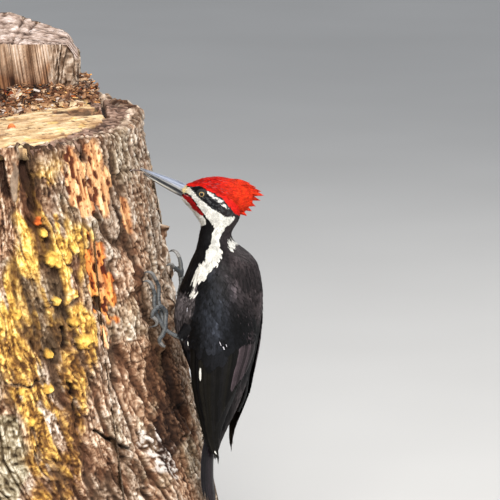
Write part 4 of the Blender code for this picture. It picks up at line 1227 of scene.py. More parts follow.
def shaft(shape, surface, start, end, lifts, radius, tint):
    """The thin round shaft that stiffens a long feather, standing a little over its vane."""
    share = np.linspace(0, SHAFT_REACH, SHAFT_STATIONS)
    q = start[0] + (end[0] - start[0]) * share
    a = start[1] + (end[1] - start[1]) * share
    lift = lifts[0] + (lifts[1] - lifts[0]) * share**LIFT_CURVE
    line = surface(q, a, lift)
    over = unit(surface(q, a, lift + 0.001) - line)
    along = unit(np.gradient(line, axis=0))
    side = np.cross(along, over)
    size = radius * (1 - 0.72 * share)
    around = full_turn(SHAFT_AROUND)
    rings = (line + over * size[:, None] * 0.5)[:, None] + size[:, None, None] * (
        np.cos(around)[:, None] * side[:, None] + np.sin(around)[:, None] * over[:, None])
    add_rings(shape, rings, tint, place=np.full((SHAFT_STATIONS * SHAFT_AROUND + 2, 2), 0.5))


def long_feathers(shape, surface, rows, rng, tint_of_row, step, bare=0.0004):
    """Long single feathers, each with its own shaft.

    Each row holds a feather's start, end, half width, lift and outline.
    """
    for start, end, width, lift, outline in rows:
        start = np.array([start], float)
        end = np.array([end], float)
        tint = tint_of_row(start)
        lifts = (lift - 0.0014, lift)
        spot = rng.uniform(0.05, 0.95, (1, 2))
        lay(shape, surface, start, end, width, lifts, tint, outline, LONG_ACROSS, LONG_CAMBER, LONG_THICKNESS,
            step, place=spot)
        shaft_lifts = (lifts[0] + LONG_CAMBER * width, lifts[1] + LONG_CAMBER * width * 0.4)
        shaft_tint = np.asarray(tint).reshape(-1, 3)[0] * 1.3 + 0.004
        shaft(shape, surface, start[0], end[0], shaft_lifts, bare, shaft_tint)


def near_profile(points):
    """Where points of either wing fall on the markings' plane, the right wing as the left one's mirror."""
    return profile(points * (1, -1, 1) if points[0, 1] > 0 else points)


WORN_MAUVE = (0.038, 0.0280, 0.0315)


def wing_tint(rng):
    """Flight feathers are brown-black, and the innermost ones, which start highest, are worn to mauve."""
    def colour(start):
        plain = mix(BLACK * 0.9, (0.0100, 0.0088, 0.0062), rng.uniform(0, 1))
        worn = start[0, 0] > TERTIAL_ROOT - 0.001
        return np.where(worn, WORN_MAUVE, plain) * rng.uniform(0.5, 1.6)

    return colour


def covert_tips(share):
    """The height that the longest coverts reach: lowest over the middle of the wing."""
    return COVERTS_END - 0.024 * np.exp(-(((share - 0.36) / 0.20) ** 2))


def lay_coverts(shape, surface, start, end, size, lifts, rng, outline, across, camber, thickness):
    """Coverts with the coat's colours: white where the neck's stripe runs over the bend of the wing."""
    seen = start + SEEN_SHARE * (end - start)
    points = surface(seen[:, 0], seen[:, 1], np.zeros(len(seen)))
    u, v = near_profile(points)
    mirrored = points * (1, -1, 1) if points[0, 1] > 0 else points
    tint = lustre(mirrored, rng, np.broadcast_to(BLACK, points.shape))
    tint = np.where(white_marks(*ragged(u, v, 0.0008))[:, None], WHITE, tint)
    lay(shape, surface, start, end, size, lifts, tint, outline, across, camber, thickness, (-0.001, 0.01))


def build_wing(sign, materials, rng):
    """Coverts like roof tiles over the upper wing, and the long feathers below them."""
    surface = wing_surface(sign)
    shape = Shape()
    spots, _ = scatter(surface, (0.3080, 0.3885), (0.0, 1.0), 0.0026, rng, 22000)
    size = rng.uniform(0.010, 0.015, len(spots))
    end = spots.copy()
    end[:, 0] += step_along(surface, spots, size, -0.002)
    end[:, 0] = np.maximum(end[:, 0], covert_tips(spots[:, 1]) + 0.002)
    end[:, 1] += rng.normal(0, 0.025, len(spots))
    lift = rng.normal(0.0003, 0.00018, len(spots))
    lay_coverts(shape, surface, spots, end, size * 0.15, (-0.0026, lift), rng, CONTOUR, 2, 0.10, 0.00012)
    for rise, number, width, top in ((0.016, 21, 0.0046, 0.0001), (0.0, 19, 0.0052, -0.0004)):
        share = (np.arange(number) + 0.5) / number
        tips = covert_tips(share) + rise + rng.normal(0, 0.0022, number)
        start = np.stack([tips + 0.032, share + rng.normal(0, 0.006, number)], -1)
        end = np.stack([tips, share + 0.015 + rng.normal(0, 0.010, number)], -1)
        lay_coverts(shape, surface, start, end, width, (-0.0026, top), rng, COVERT, 6, 0.06, 0.0002)
    coverts = shape.build(f"coverts_{SIDE_NAMES[sign]}", materials["coat"])

    shape = Shape()
    rows = []
    for k, tip in enumerate(PRIMARY_TIPS):
        tip = (tip + (RIGHT_TIP_RISE if sign > 0 else 0.0), 0.12 + 0.095 * k)
        rows.append(((0.3180, 0.07 + 0.055 * k), tip, 0.0048, -0.0020 + 0.00012 * k, PRIMARY))
    for k in range(9):
        tip = (0.2040 + 0.0062 * k, 0.64 + 0.034 * k)
        rows.append(((0.3200, 0.42 + 0.046 * k), tip, 0.0050, -0.0010 + 0.00008 * k, FLIGHT))
    for k in range(4):
        tip = (0.2460 + 0.0060 * k, 0.80 + 0.05 * k)
        rows.append(((TERTIAL_ROOT, 0.77 + 0.06 * k), tip, 0.0058, -0.0003 + 0.00012 * k, FLIGHT))
    long_feathers(shape, surface, rows, rng, wing_tint(rng), (-0.001, 0.01))
    for start, end, half, colour in WING_MARKS:
        lay(shape, surface, [start], [end], half, (0.0006, 0.0010), colour, COVERT, 4, 0.1, 0.0002,
            (-0.001, 0.01),
            place=np.full((1, 2), 0.5))
    flight = shape.build(f"flight_feathers_{SIDE_NAMES[sign]}", materials["wing"])
    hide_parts(f"flight_{SIDE_NAMES[sign]}")


RUMP = np.array([  # height, x of the back's middle, half width, how far the sides fall away
    (0.2235, 0.2676, 0.0190, 0.0190),
    (0.1982, 0.2560, 0.0115, 0.0098),
    (0.1850, 0.2500, 0.0115, 0.0070),
    (0.1720, 0.2452, 0.0130, 0.0045),
    (0.1600, 0.2420, 0.0145, 0.0032),
    (0.1500, 0.2408, 0.0155, 0.0030),
])
# each row's tips, how many there are, and how far they spread
TAIL_COVERTS = ((0.1630, 5, 0.0085), (0.1730, 6, 0.0095), (0.1830, 6, 0.0095), (0.1920, 6, 0.0095))


def rump_surface(height, side, lift=0.0):
    """Where the coverts lie that run from the rump down over the base of the tail."""
    middle, half, fall = (np.interp(-height, -RUMP[:, 0], column) for column in RUMP.T[1:])
    return np.stack(np.broadcast_arrays(middle + lift - fall * (side / half) ** 2, side, height), -1)


def build_tail_coverts(materials):
    """Soft feathers in four rows, the lowest first."""
    rng = np.random.default_rng(412)
    shape = Shape()
    for tip, number, spread in TAIL_COVERTS:
        side = spread * np.linspace(-1, 1, number) + rng.normal(0, 0.0005, number)
        tips = tip + 0.0060 * (side / spread) ** 2 + rng.normal(0, 0.0011, number)
        start = np.stack([tips + 0.028, side * 0.8], -1)
        end = np.stack([tips, side], -1)
        tint = mix(BLACK * 1.4, BROWN_BLACK, 0.45) * rng.uniform(0.6, 1.3, number)[:, None]
        spot = rng.uniform(0.05, 0.95, (number, 2))
        lay(shape, rump_surface, start, end, 0.0036, (-0.0016, 0.0), tint, COVERT, 6, 0.08, 0.0002,
            (-0.001, 0.001),
            place=spot)
    coverts = shape.build("tail_coverts", materials["coat"])


def build_tail(materials, rng):
    """Ten stiff, pointed feathers, the middle pair on top."""
    shape = Shape()
    rows = []
    for pair in range(4, -1, -1):
        share = (pair + 0.45) / 5
        tip = TAIL_ROOT - (TAIL_ROOT - TAIL_TIP) * (1 - 0.20 * share**1.5)
        for sign in (-1, 1):
            lift = -0.0005 * pair - 0.0002 * (sign > 0)
            rows.append(((0.2330, sign * 0.009 * share), (tip, sign * 0.0215 * share), 0.0062, lift,
                TAIL_VANE))

    def colour(_start):
        return mix(BLACK * 1.2, (0.018, 0.013, 0.016), rng.uniform(0, 1))

    long_feathers(shape, tail_surface, rows, rng, colour, (-0.001, 0.001), bare=0.0006)
    tail = shape.build("tail_feathers", materials["wing"])
    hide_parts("tail")


# ------------------------------------------------------------------------------------------ legs


def tube_rings(path, radii, around, over_of):
    """Rings round a path, each starting at the side that faces away from the bark."""
    path, radii = np.asarray(path, float), np.asarray(radii, float)
    along = unit(np.gradient(path, axis=0))
    over = over_of(path)
    over = unit(over - (over * along).sum(-1, keepdims=True) * along)
    side = np.cross(along, over)
    angle = full_turn(around)
    radii = radii if radii.ndim == 2 else np.broadcast_to(radii[:, None], (len(path), around))
    return path[:, None] + radii[..., None] * (
        np.cos(angle)[:, None] * over[:, None] + np.sin(angle)[:, None] * side[:, None])


def off_trunk(points):
    return unit(points * (1.0, 1.0, 0.0))


def scute_relief(distance, angle, pitch):
    """Overlapping plates along the upper side, and pads under the toe."""
    phase = (distance / pitch) % 1.0
    plate = np.where(phase < 0.86, phase, (1 - phase) * 6.1) - 0.43
    top = smooth(-0.1, 0.7, np.cos(angle))
    pads = 0.5 + 0.5 * np.cos(2 * math.pi * distance / (pitch * 2.7))
    grain = noise(distance / 0.0006, np.sin(angle) * 4, np.cos(angle) * 4, 41)
    return 0.00040 * plate * top + (0.00030 * pads + 0.00008 * grain) * (1 - top), phase, top


SCALY_STEPS, SCALY_AROUND = 80, 28
SHANK_RADII, SHANK_PITCH = (0.0030, 0.0027, 0.0022, 0.0022), 0.0019  # the pitch of the scutes
TOE_RADII, TOE_PITCH = (0.0027, 0.0026, 0.0025, 0.0023, 0.0019), 0.0014
CLAW_STEPS, CLAW_AROUND, CLAW_RADIUS = 30, 16, 0.0019


def scaly_tube(shape, points, radii, pitch):
    """A toe or shank with its scutes."""
    points = np.array([np.array(p) for p in points])
    place = np.linspace(0, len(points) - 1, SCALY_STEPS)
    path = catmull(points, place)
    distance = np.r_[0, np.cumsum(np.linalg.norm(np.diff(path, axis=0), axis=1))]
    radius = np.interp(place, np.linspace(0, len(points) - 1, len(radii)), radii)
    angle = full_turn(SCALY_AROUND)
    relief, phase, top = scute_relief(distance[:, None], angle[None], pitch)
    rings = tube_rings(path, radius[:, None] * 0.96 + relief, SCALY_AROUND, off_trunk)
    seam = smooth(0.66, 0.86, phase) * top
    tint = mix((0.094, 0.102, 0.110), (0.012, 0.012, 0.013), seam)
    tint = mix(tint, (0.130, 0.125, 0.112), (1 - top) * 0.6)
    tint = tint * (0.85 + 0.3 * noise(distance[:, None] / 0.003, angle[None] * 2, 0.5, 42))[..., None]
    add_rings(shape, rings, tint, flip=True)


def claw_shape(shape, points):
    """A curved claw, deeper than wide, with its flanks a little hollow."""
    points = np.array([on_bark(*p) for p in points])
    place = np.linspace(0, 3, CLAW_STEPS)
    path = catmull(points, place)
    radius = CLAW_RADIUS * np.interp(place, (0, 1, 2, 3), (1.0, 0.88, 0.54, 0.12))
    angle = full_turn(CLAW_AROUND)
    deep = radius[:, None] * (1.10 * np.abs(np.cos(angle)) + 0.74 * np.abs(np.sin(angle))) * 0.96
    rings = tube_rings(path, deep, CLAW_AROUND, off_trunk)
    share = place / 3
    tint = mix((0.24, 0.23, 0.22), (0.036, 0.034, 0.034), smooth(0.25, 0.95, share))
    mottle = 1 + 0.2 * noise(share[:, None] * 20, angle[None], 0.5, 43)
    tint = np.broadcast_to(tint[:, None], (CLAW_STEPS, CLAW_AROUND, 3)) * mottle[..., None]
    add_rings(shape, rings, tint, flip=True)


def build_legs(materials):
    for sign, side in SIDE_NAMES.items():
        _, ankle, joint = LEGS[sign]
        joint = on_bark(*joint)
        ankle = np.array(ankle)
        middle = (ankle + joint) / 2 + (0, 0, -0.001)
        shank = Shape()
        start = ankle - (middle - ankle) * 0.5
        scaly_tube(shank, (start, ankle, middle, joint), SHANK_RADII, SHANK_PITCH)
        made = shank.build(f"shank_{side}", materials["scales"], mapped=False)
        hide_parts(f"tarsus_{side}")
        foot = Shape()
        for toe in TOES[sign]:
            points = [on_bark(*p) for p in toe]
            path = [joint - (points[0] - joint) * 0.06, joint + (points[0] - joint) * 0.5, *points]
            scaly_tube(foot, path, TOE_RADII, TOE_PITCH)
        made = foot.build(f"toes_{side}", materials["scales"], mapped=False)
        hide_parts(f"foot_{side}")
        claws = Shape()
        for claw in CLAWS[sign]:
            claw_shape(claws, claw)
        made = claws.build(f"claws_{side}", materials["claw"], mapped=False)
        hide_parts(*[f"claw_{side}_{number}" for number in range(1, 5)])


# ----------------------------------------------------------------------------------------- trunk

TRUNK_WAIST, WAIST_RADIUS, TAPER, FLARE, WORN_SIDE = 0.341, 0.190, 0.1686, 0.1453, 0.005
TUCK, TUCK_FROM = 0.005, 0.44
BARK_LUMPS = ((5, 1.1, 6.0, 0.0016), (9, -0.6, -9.0, 0.0012), (12, 2.0, 5.0, 0.0010))
SAW_STEP = 0.0015
GRAIN_LEAN = 0.20
# On the side that the markings are drawn on: u, v, half width, half height
BARE_WOOD = (
    (0.0915, 0.4647, 0.0125, 0.0390), (0.1125, 0.4700, 0.0100, 0.0380), (0.1040, 0.4480, 0.0040, 0.0150),
    (0.1420, 0.4345, 0.0040, 0.0215), (0.1140, 0.3594, 0.0125, 0.0420), (0.1190, 0.3013, 0.0034, 0.0125),
)
HOT_PATCH = 4  # the one that the bird has worked on last
SLIT = 3  # the long pale one by the bird's bill
CAVITIES = (
    (0.0360, 0.4702, 0.0060, 0.0305), (0.0100, 0.4724, 0.0060, 0.0225), (0.1100, 0.3375, 0.0046, 0.0080),
)
RESIN_DRIP = (0.0220, 0.4660, 0.0046, 0.0210)
CRUST = (0.0570, 0.2900, 0.0470, 0.1680)
LUMPS = (
    (0.0470, 0.4258, 0.0050), (0.0535, 0.4131, 0.0050), (0.0680, 0.3802, 0.0050), (0.0950, 0.2969, 0.0085),
    (0.0578, 0.2827, 0.0050), (0.0578, 0.2465, 0.0055), (0.0290, 0.2432, 0.0045), (0.0390, 0.2103, 0.0045),
    (0.0250, 0.3254, 0.0055), (0.0845, 0.3177, 0.0050), (0.0665, 0.3397, 0.0045), (0.0620, 0.3850, 0.0080),
)
CRACKS = ((0.0734, 0.3101, 0.0864, 0.2092, 0.0026), (0.1058, 0.1971, 0.1426, 0.1785, 0.0022))
LICHEN = (0.1760, 0.1719, 0.0150, 0.0230)
GREEN_SIDE = (0.0100, 0.1653, 0.0300, 0.0480)
BROWN_SIDE = (0.1566, 0.2585, 0.0230, 0.0520)
# a dark reddish-brown painted shadow on the bark beside the bird's body
BIRD_SHADOW = (0.1912, 0.2400, 0.0150, 0.0900)
WARM_SIDE = (0.0020, 0.4550, 0.0300, 0.0600)
SPLINTER = (0.297, 0.3950, 0.034, 0.0135)  # turn, height, half width in radians, half height
FRESH_CUT = [  # across, along the cut
    (-0.120, -0.003), (0.000, -0.003), (0.037, 0.040), (0.092, 0.053), (0.106, 0.030), (0.111, -0.005),
    (0.108, -0.031), (0.086, -0.072), (0.055, -0.126), (0.025, -0.161), (0.000, -0.166), (-0.060, -0.155),
    (-0.120, -0.100), (-0.150, -0.030),
]
GREY_BARK = (
    (0.020, 0.009, 0.005), (0.140, 0.078, 0.044), (0.390, 0.280, 0.200), (0.640, 0.505, 0.395),
    (0.86, 0.77, 0.66),
)
WARM_BARK = (
    (0.018, 0.006, 0.003), (0.130, 0.052, 0.024), (0.350, 0.190, 0.105), (0.580, 0.385, 0.250),
    (0.82, 0.63, 0.47),
)
OLIVE_BARK = (
    (0.020, 0.012, 0.005), (0.130, 0.098, 0.050), (0.330, 0.285, 0.180), (0.560, 0.505, 0.370),
    (0.78, 0.73, 0.60),
)
# dark reddish-brown bark, also used for the painted shadow beside the bird
RUST_AND_SHADOW_BARK = (
    (0.006, 0.002, 0.001), (0.030, 0.011, 0.005), (0.095, 0.042, 0.020), (0.230, 0.118, 0.066),
    (0.48, 0.32, 0.22),
)
GOLD = (
    (0.050, 0.018, 0.004), (0.220, 0.095, 0.018), (0.540, 0.295, 0.055), (0.860, 0.540, 0.110),
    (0.98, 0.76, 0.26),
)
PALE_WOOD = (
    (0.090, 0.022, 0.008), (0.340, 0.130, 0.048), (0.700, 0.390, 0.180), (0.920, 0.640, 0.350),
    (0.97, 0.83, 0.60),
)
HOT_WOOD = (
    (0.070, 0.010, 0.003), (0.330, 0.065, 0.012), (0.700, 0.250, 0.050), (0.900, 0.460, 0.130),
    (0.95, 0.70, 0.38),
)
RUBBLE = (
    (0.012, 0.005, 0.003), (0.085, 0.034, 0.016), (0.270, 0.125, 0.058), (0.480, 0.280, 0.150),
    (0.74, 0.56, 0.38),
)
OLD_WOOD = (
    (0.022, 0.011, 0.007), (0.140, 0.088, 0.062), (0.380, 0.280, 0.215), (0.600, 0.500, 0.430),
    (0.80, 0.74, 0.70),
)
SAWN_WOOD = (
    (0.200, 0.080, 0.030), (0.400, 0.220, 0.095), (0.580, 0.390, 0.200), (0.700, 0.530, 0.310),
    (0.82, 0.68, 0.46),
)


def trunk_radius(turn, height):
    """How far the bark is from the trunk's axis, at an angle round it and a height."""
    drop = TRUNK_WAIST - height
    radius = WAIST_RADIUS + TAPER * drop + FLARE * drop * drop
    wrapped = np.degrees(np.arctan2(np.sin(turn), np.cos(turn)))
    near_bird = np.exp(-((wrapped / 26) ** 2))
    radius = radius - WORN_SIDE * near_bird * np.clip((height - 0.09) / 0.06, 0, 1)
    radius = radius - TUCK * np.clip((height - TUCK_FROM) / 0.05, 0, 1)
    for count, phase, rise, size in BARK_LUMPS:
        radius = radius + size * (1 - 0.6 * near_bird) * np.cos(count * turn + phase + rise * height)
    return radius


def on_bark(degrees, height, off):
    turn = math.radians(degrees)
    radius = float(trunk_radius(turn, height)) + off
    return np.array((radius * math.cos(turn), radius * math.sin(turn), height))


def patch(u, v, where, ragged, scale=160.0, seed=51, leaning=False):
    """How deep inside an oval patch each point is, 0 to 1, with a ragged edge; it may lean with the grain."""
    cu, cv, half_u, half_v = where
    if leaning:
        u = u + lean_of(v) - lean_of(cv)
    far = np.sqrt(((u - cu) / half_u) ** 2 + ((v - cv) / half_v) ** 2)
    far = far + ragged * noise(u * scale, v * scale * 0.5, 0.5, seed)
    return smooth(1.12, 0.88, far)


def near_claws(points):
    """1 far from every claw tip, falling to 0 at it."""
    calm = np.ones(points.shape[:-1])
    for claws in CLAWS.values():
        for claw in claws:
            far = np.linalg.norm(points - on_bark(*claw[-1]), axis=-1)
            calm = np.minimum(calm, smooth(0.002, 0.011, far))
    return calm


def terraces(value, count, edge):
    """Smooth noise broken into flat flakes with steep edges, and where those edges run."""
    scaled = (0.5 + 0.5 * value) * count
    step = np.floor(scaled)
    part = scaled - step
    return (step + smooth(1 - edge, 1.0, part)) / count, smooth(1 - 2.2 * edge, 1 - edge, part)


def line_of(value, width):
    """1 along the lines where smooth noise passes zero, falling off to both sides."""
    return np.exp(-((value / width) ** 2))


def nodules(u, v, size, seed):
    """Round lumps at random places, as heights from 0 to 1."""
    cu, cv = np.floor(u / size).astype(np.int64), np.floor(v / size).astype(np.int64)
    tall = np.zeros(np.broadcast(u, v).shape)
    for du in (-1, 0, 1):
        for dv in (-1, 0, 1):
            ix, iy = cu + du, cv + dv
            x = (ix + 0.5 + 0.42 * cell_values(ix, iy, ix * 0, seed)) * size
            y = (iy + 0.5 + 0.42 * cell_values(ix, iy, ix * 0 + 1, seed)) * size
            radius = size * (0.42 + 0.26 * cell_values(ix, iy, ix * 0 + 2, seed))
            tall = np.maximum(tall, 1 - ((u - x) ** 2 + (v - y) ** 2) / radius**2)
    return np.sqrt(np.clip(tall, 0, 1))


def palette(tone, colours):
    """A colour between evenly spaced ones, for a tone from 0 to 1."""
    stops = np.linspace(0, 1, len(colours))
    return np.stack([np.interp(tone, stops, channel) for channel in np.array(colours).T], -1)


def lean_of(height):
    """How far the grain has moved round the trunk at a height: it sweeps more towards the foot."""
    low = np.clip(0.36 - height, 0, 1)
    return GRAIN_LEAN * height - 0.62 * low**2


def bark_relief(turn, height):
    """Furrows, flaky plates and cracks: the height off the bark's mean surface, its tone and its depth. The
    tone is darkened as painted shade in furrows, grooves and cracks and along the steep edges of flakes and
    chips.
    """
    x, y = np.cos(turn) * WAIST_RADIUS, np.sin(turn) * WAIST_RADIUS
    bend = 0.009 * noise(x * 22, y * 22, height * 11, 61) + 0.0035 * noise(x * 80, y * 80, height * 42, 62)
    lean = (turn * WAIST_RADIUS + lean_of(height) + bend) / WAIST_RADIUS
    x, y = np.cos(lean) * WAIST_RADIUS, np.sin(lean) * WAIST_RADIUS

    def grain(across, along, seed):
        return noise(x / across, y / across, height / along, seed)

    furrow = line_of(grain(0.0250, 0.120, 63), 0.10)
    groove = line_of(grain(0.0110, 0.042, 64), 0.09)
    crack = line_of(grain(0.0060, 0.0125, 65), 0.11)
    flakes, flake_edge = terraces(grain(0.0090, 0.0175, 66), 4, 0.14)
    chips, chip_edge = terraces(grain(0.0042, 0.0062, 67), 3, 0.18)
    swell = grain(0.021, 0.060, 70)
    grit = grain(0.0023, 0.0028, 68)
    fibre = grain(0.0021, 0.0130, 69)
    relief = 0.0016 * swell + 0.0040 * (flakes - 0.5) + 0.0028 * (chips - 0.5) + 0.0011 * grit - 0.0008
    relief = relief + 0.0007 * fibre - 0.0056 * furrow - 0.0030 * groove - 0.0014 * crack
    depth = np.maximum(furrow, 0.75 * groove)
    tone = 0.68 + 0.22 * (flakes - 0.5) + 0.36 * (chips - 0.5) + 0.42 * grit + 0.34 * fibre
    # painted shade: darker in furrows, grooves and cracks and along the steep edges of flakes and chips
    tone = tone * (1 - 0.80 * depth) * (1 - 0.45 * crack) * (1 - 0.34 * flake_edge) * (1 - 0.30 * chip_edge)
    return relief, np.clip(tone, 0, 1), depth


def bark_colours(points, tone):
    x, y, z = np.moveaxis(points, -1, 0)
    warm = smooth(-0.15, 0.45, noise(x * 34, y * 34, z * 20, 72) + 0.35 * noise(x * 150, y * 150, z * 90, 74))
    olive = smooth(0.05, 0.55, noise(x * 26, y * 26, z * 18, 73) + 0.35 * noise(x * 140, y * 140, z * 80, 75))
    colour = mix(palette(tone, GREY_BARK), palette(tone, WARM_BARK), warm * 0.8)
    colour = mix(colour, palette(tone, OLIVE_BARK), olive * 0.30)
    return colour * (1 - 0.17 * smooth(0.35, 0.42, z))[..., None]


def bare_wood(number, lean_u, v):
    """The relief and colour of the bare, splintered wood of one patch."""
    strand = noise(lean_u / 0.0019, v / 0.020, 0.5, 90)
    splinter, _ = terraces(noise(lean_u / 0.0046, v / 0.022, 0.5, 97), 3, 0.2)
    speck = smooth(0.08, 0.30, noise(lean_u / 0.0036, v / 0.0085, 0.5, 91 + number))
    speck = speck * (0.35 if number == SLIT else 1.0)
    pore = smooth(0.25, 0.50, noise(lean_u / 0.0015, v / 0.0026, 0.5, 149))
    bright = np.clip(0.54 + 0.34 * strand + 0.50 * (splinter - 0.5) - 0.85 * speck - 0.30 * pore, 0, 1)
    hot = noise(lean_u / 0.010, v / 0.018, 0.5, 95)
    if number == HOT_PATCH:
        hot = smooth(-0.75, -0.1, hot)
    else:
        hot = (0.05 if number == SLIT else 0.35) * smooth(-0.3, 0.4, hot)
    relief = -0.0032 + 0.0010 * strand + 0.0030 * (splinter - 0.5) - 0.0024 * speck
    return relief, mix(palette(bright, PALE_WOOD), palette(bright, HOT_WOOD), hot)


def worn_places(points, relief, colour, tone, depth):
    """Bare wood, holes, resin and lichen on the side that the bird's left faces, with a painted shadow beside
    the bird, painted shade in the holes and cracks, and painted shading on the gum lumps.
    """
    u, v = profile(points)
    lean_u = u + lean_of(v) - lean_of(0.38)
    facing = points[..., 0] * math.sin(MARK_AZIMUTH) - points[..., 1] * math.cos(MARK_AZIMUTH)
    front = smooth(0.02, 0.06, facing)
    # The first patch is the painted shadow beside the bird; the others are the bark's own colours.
    for where, colours, most in (
        (BIRD_SHADOW, RUST_AND_SHADOW_BARK, 0.95), (BROWN_SIDE, WARM_BARK, 0.8), (GREEN_SIDE, OLIVE_BARK, 0.8),
        (WARM_SIDE, WARM_BARK, 0.8),
    ):
        share = patch(u, v, where, 0.6, 60.0, 108) * front
        colour = mix(colour, palette(tone, colours), share * most)
    share = patch(u, v, LICHEN, 0.6, 120.0, 110, True) * smooth(0.30, 0.60, tone) * front
    colour = mix(colour, palette(tone, ((0.3, 0.24, 0.2), (0.70, 0.63, 0.57), (0.90, 0.86, 0.82))), share
        * 0.85)
    flow = noise(lean_u * 72, v * 20, 0.5, 53) + 0.5 * noise(lean_u * 210, v * 75, 0.5, 55)
    crust = patch(u, v, CRUST, 0.55, 40.0, 52) * smooth(-0.42, -0.10, flow + 0.40 * (0.4 - depth)) * front
    lumps = np.maximum(nodules(lean_u, v, 0.0105, 56) * 1.5, nodules(lean_u, v * 0.8, 0.0048, 57))
    lumps = np.clip(0.72 * lumps + 0.46 * noise(lean_u / 0.0019, v / 0.0027, 0.5, 150), 0, 1.5)
    relief = relief * (1 - 0.35 * crust) + crust * (0.0022 * lumps - 0.0002)
    gilt = np.clip(0.07 - 0.30 * smooth(0.330, 0.270, v) + tone * 0.85 + 0.26 * lumps, 0, 1)
    colour = mix(colour, palette(gilt, GOLD), crust * (0.94 - 0.60 * depth))
    for number, where in enumerate(BARE_WOOD):
        share = (
            patch(u + 0.002 * noise(u * 90, v * 40, 0.5, 96), v, where, 0.55, 170.0, 80 + number, True)
            * front
        )
        height, wood = bare_wood(number, lean_u, v)
        relief = relief * (1 - share) + share * height
        colour = mix(colour, wood, share)
    # The holes sink in and are painted near black inside: painted shade.
    for number, where in enumerate(CAVITIES):
        share = patch(u, v, where, 0.45, 150.0, 100 + number, True) * front
        relief = relief - share * (0.012 if number < 2 else 0.006)
        colour = mix(colour, (0.022, 0.008, 0.004), share * 0.9)
    share = patch(u, v, RESIN_DRIP, 0.45, 200.0, 104) * front
    drip = np.clip(0.5 + 0.5 * noise(u / 0.0042, v / 0.020, 0.5, 105), 0, 1)
    relief = relief * (1 - share) + share * 0.0016 * drip
    colour = mix(colour, palette(drip, ((0.05, 0.03, 0.02), (0.24, 0.17, 0.12), (0.60, 0.50, 0.38))), share
        * 0.9)
    for lump_u, lump_v, size in LUMPS:
        far = np.hypot(u - lump_u, v - lump_v) / size
        far = far + 0.38 * noise(u * 260, v * 260, 0.5, 106) + 0.18 * noise(u * 620, v * 620, 0.5, 145)
        share = smooth(1.1, 0.75, far) * front
        dome = np.sqrt(np.clip(1 - (np.maximum(far, 0) / 1.15) ** 2, 0, 1))
        relief = relief * (1 - share) + share * (0.0034 * dome + 0.0022 * lumps - 0.0010)
        # The gum is dark at each dome's rim and light on its top: painted shading of the dome.
        gum = palette(np.clip(0.12 + 0.42 * dome + 0.30 * lumps, 0, 1), GOLD)
        colour = mix(colour, gum * ((1.0, 0.35, 0.30) if lump_v == LUMPS[0][1] else (1, 1, 1)), share)
    # The cracks sink in and are painted near black: painted shade.
    for u0, v0, u1, v1, half in CRACKS:
        line = np.array((u1 - u0, v1 - v0))
        t = np.clip(((u - u0) * line[0] + (v - v0) * line[1]) / line.dot(line), 0, 1)
        sway = 0.005 * noise(u * 50, v * 50, 0.5, 107) + 0.0015 * noise(u * 220, v * 220, 0.5, 113)
        far = np.hypot(u - u0 - t * line[0] + sway, v - v0 - t * line[1] + sway)
        share = smooth(1.3, 0.5, far / half) * front
        relief = relief - share * 0.008
        colour = mix(colour, (0.012, 0.006, 0.004), share * 0.95)
    return relief, colour


def on_cut(points):
    """Across and along the sloping saw cut."""
    x, y = points[..., 0], points[..., 1]
    return x * math.cos(FACING) + y * math.sin(FACING), -x * math.sin(FACING) + y * math.cos(FACING)


def cut_height(points):
    across, along = on_cut(points)
    beside = (along > SLAB_SETBACK / 2) & ((across > SLAB_RIGHT) | (across < SLAB_LEFT))
    return SAW_HEIGHT + SAW_SLOPE * along + SAW_STEP * beside


BARK_PIECES = (  # name, first and last angle round the trunk, columns, rows
    ("bark_left", -90, -36, 190, 440),
    ("bark_right", -36, 22, 200, 440),
    ("bark_back", 22, 270, 270, 190),
)
WALL = 0.016


LIP = np.linspace(0.0015, 0.0105, 7)


def bark_lip(turn, radius, top):
    """The broken upper edge of the bark, from its outside in to the sawn face."""
    radius = radius - LIP[:, None]
    x, y = radius * np.cos(turn), radius * np.sin(turn)
    crumb = noise(x / 0.0048, y / 0.0048, 0.5, 138)
    grit = noise(x / 0.0021, y / 0.0021, 0.5, 139)
    height = top + (0.0022 * crumb + 0.0012 * grit - 0.0006) * smooth(0, 0.004, LIP)[:, None]
    tone = np.clip(0.42 + 0.40 * crumb + 0.34 * grit, 0, 1)
    colour = mix(palette(tone, GREY_BARK), palette(tone, RUST_AND_SHADOW_BARK),
        smooth(-0.2, 0.5, noise(x / 0.02, y / 0.02, 0.5, 140)))
    return np.stack([x, y, height], -1), colour


def splinter_relief(turn, height):
    """A piece of bark that stands off the right edge and ends in a broken point."""
    aside, level = (turn - SPLINTER[0]) / SPLINTER[2], (height - SPLINTER[1]) / SPLINTER[3]
    torn = noise(turn / 0.012, height / 0.0035, 0.5, 148)
    slim = smooth(1.0, 0.30, np.abs(aside) * (1 + 0.90 * np.clip(level, 0, 1)))
    rise = (
        np.clip((level + 1.1) / 2.1, 0, 1) ** 2.4
        * smooth(1.30, 1.0, level + 0.25 * torn + 0.5 * np.clip(-aside, 0, 1))
    )
    return 0.0150 * slim * rise * (0.86 + 0.28 * torn)


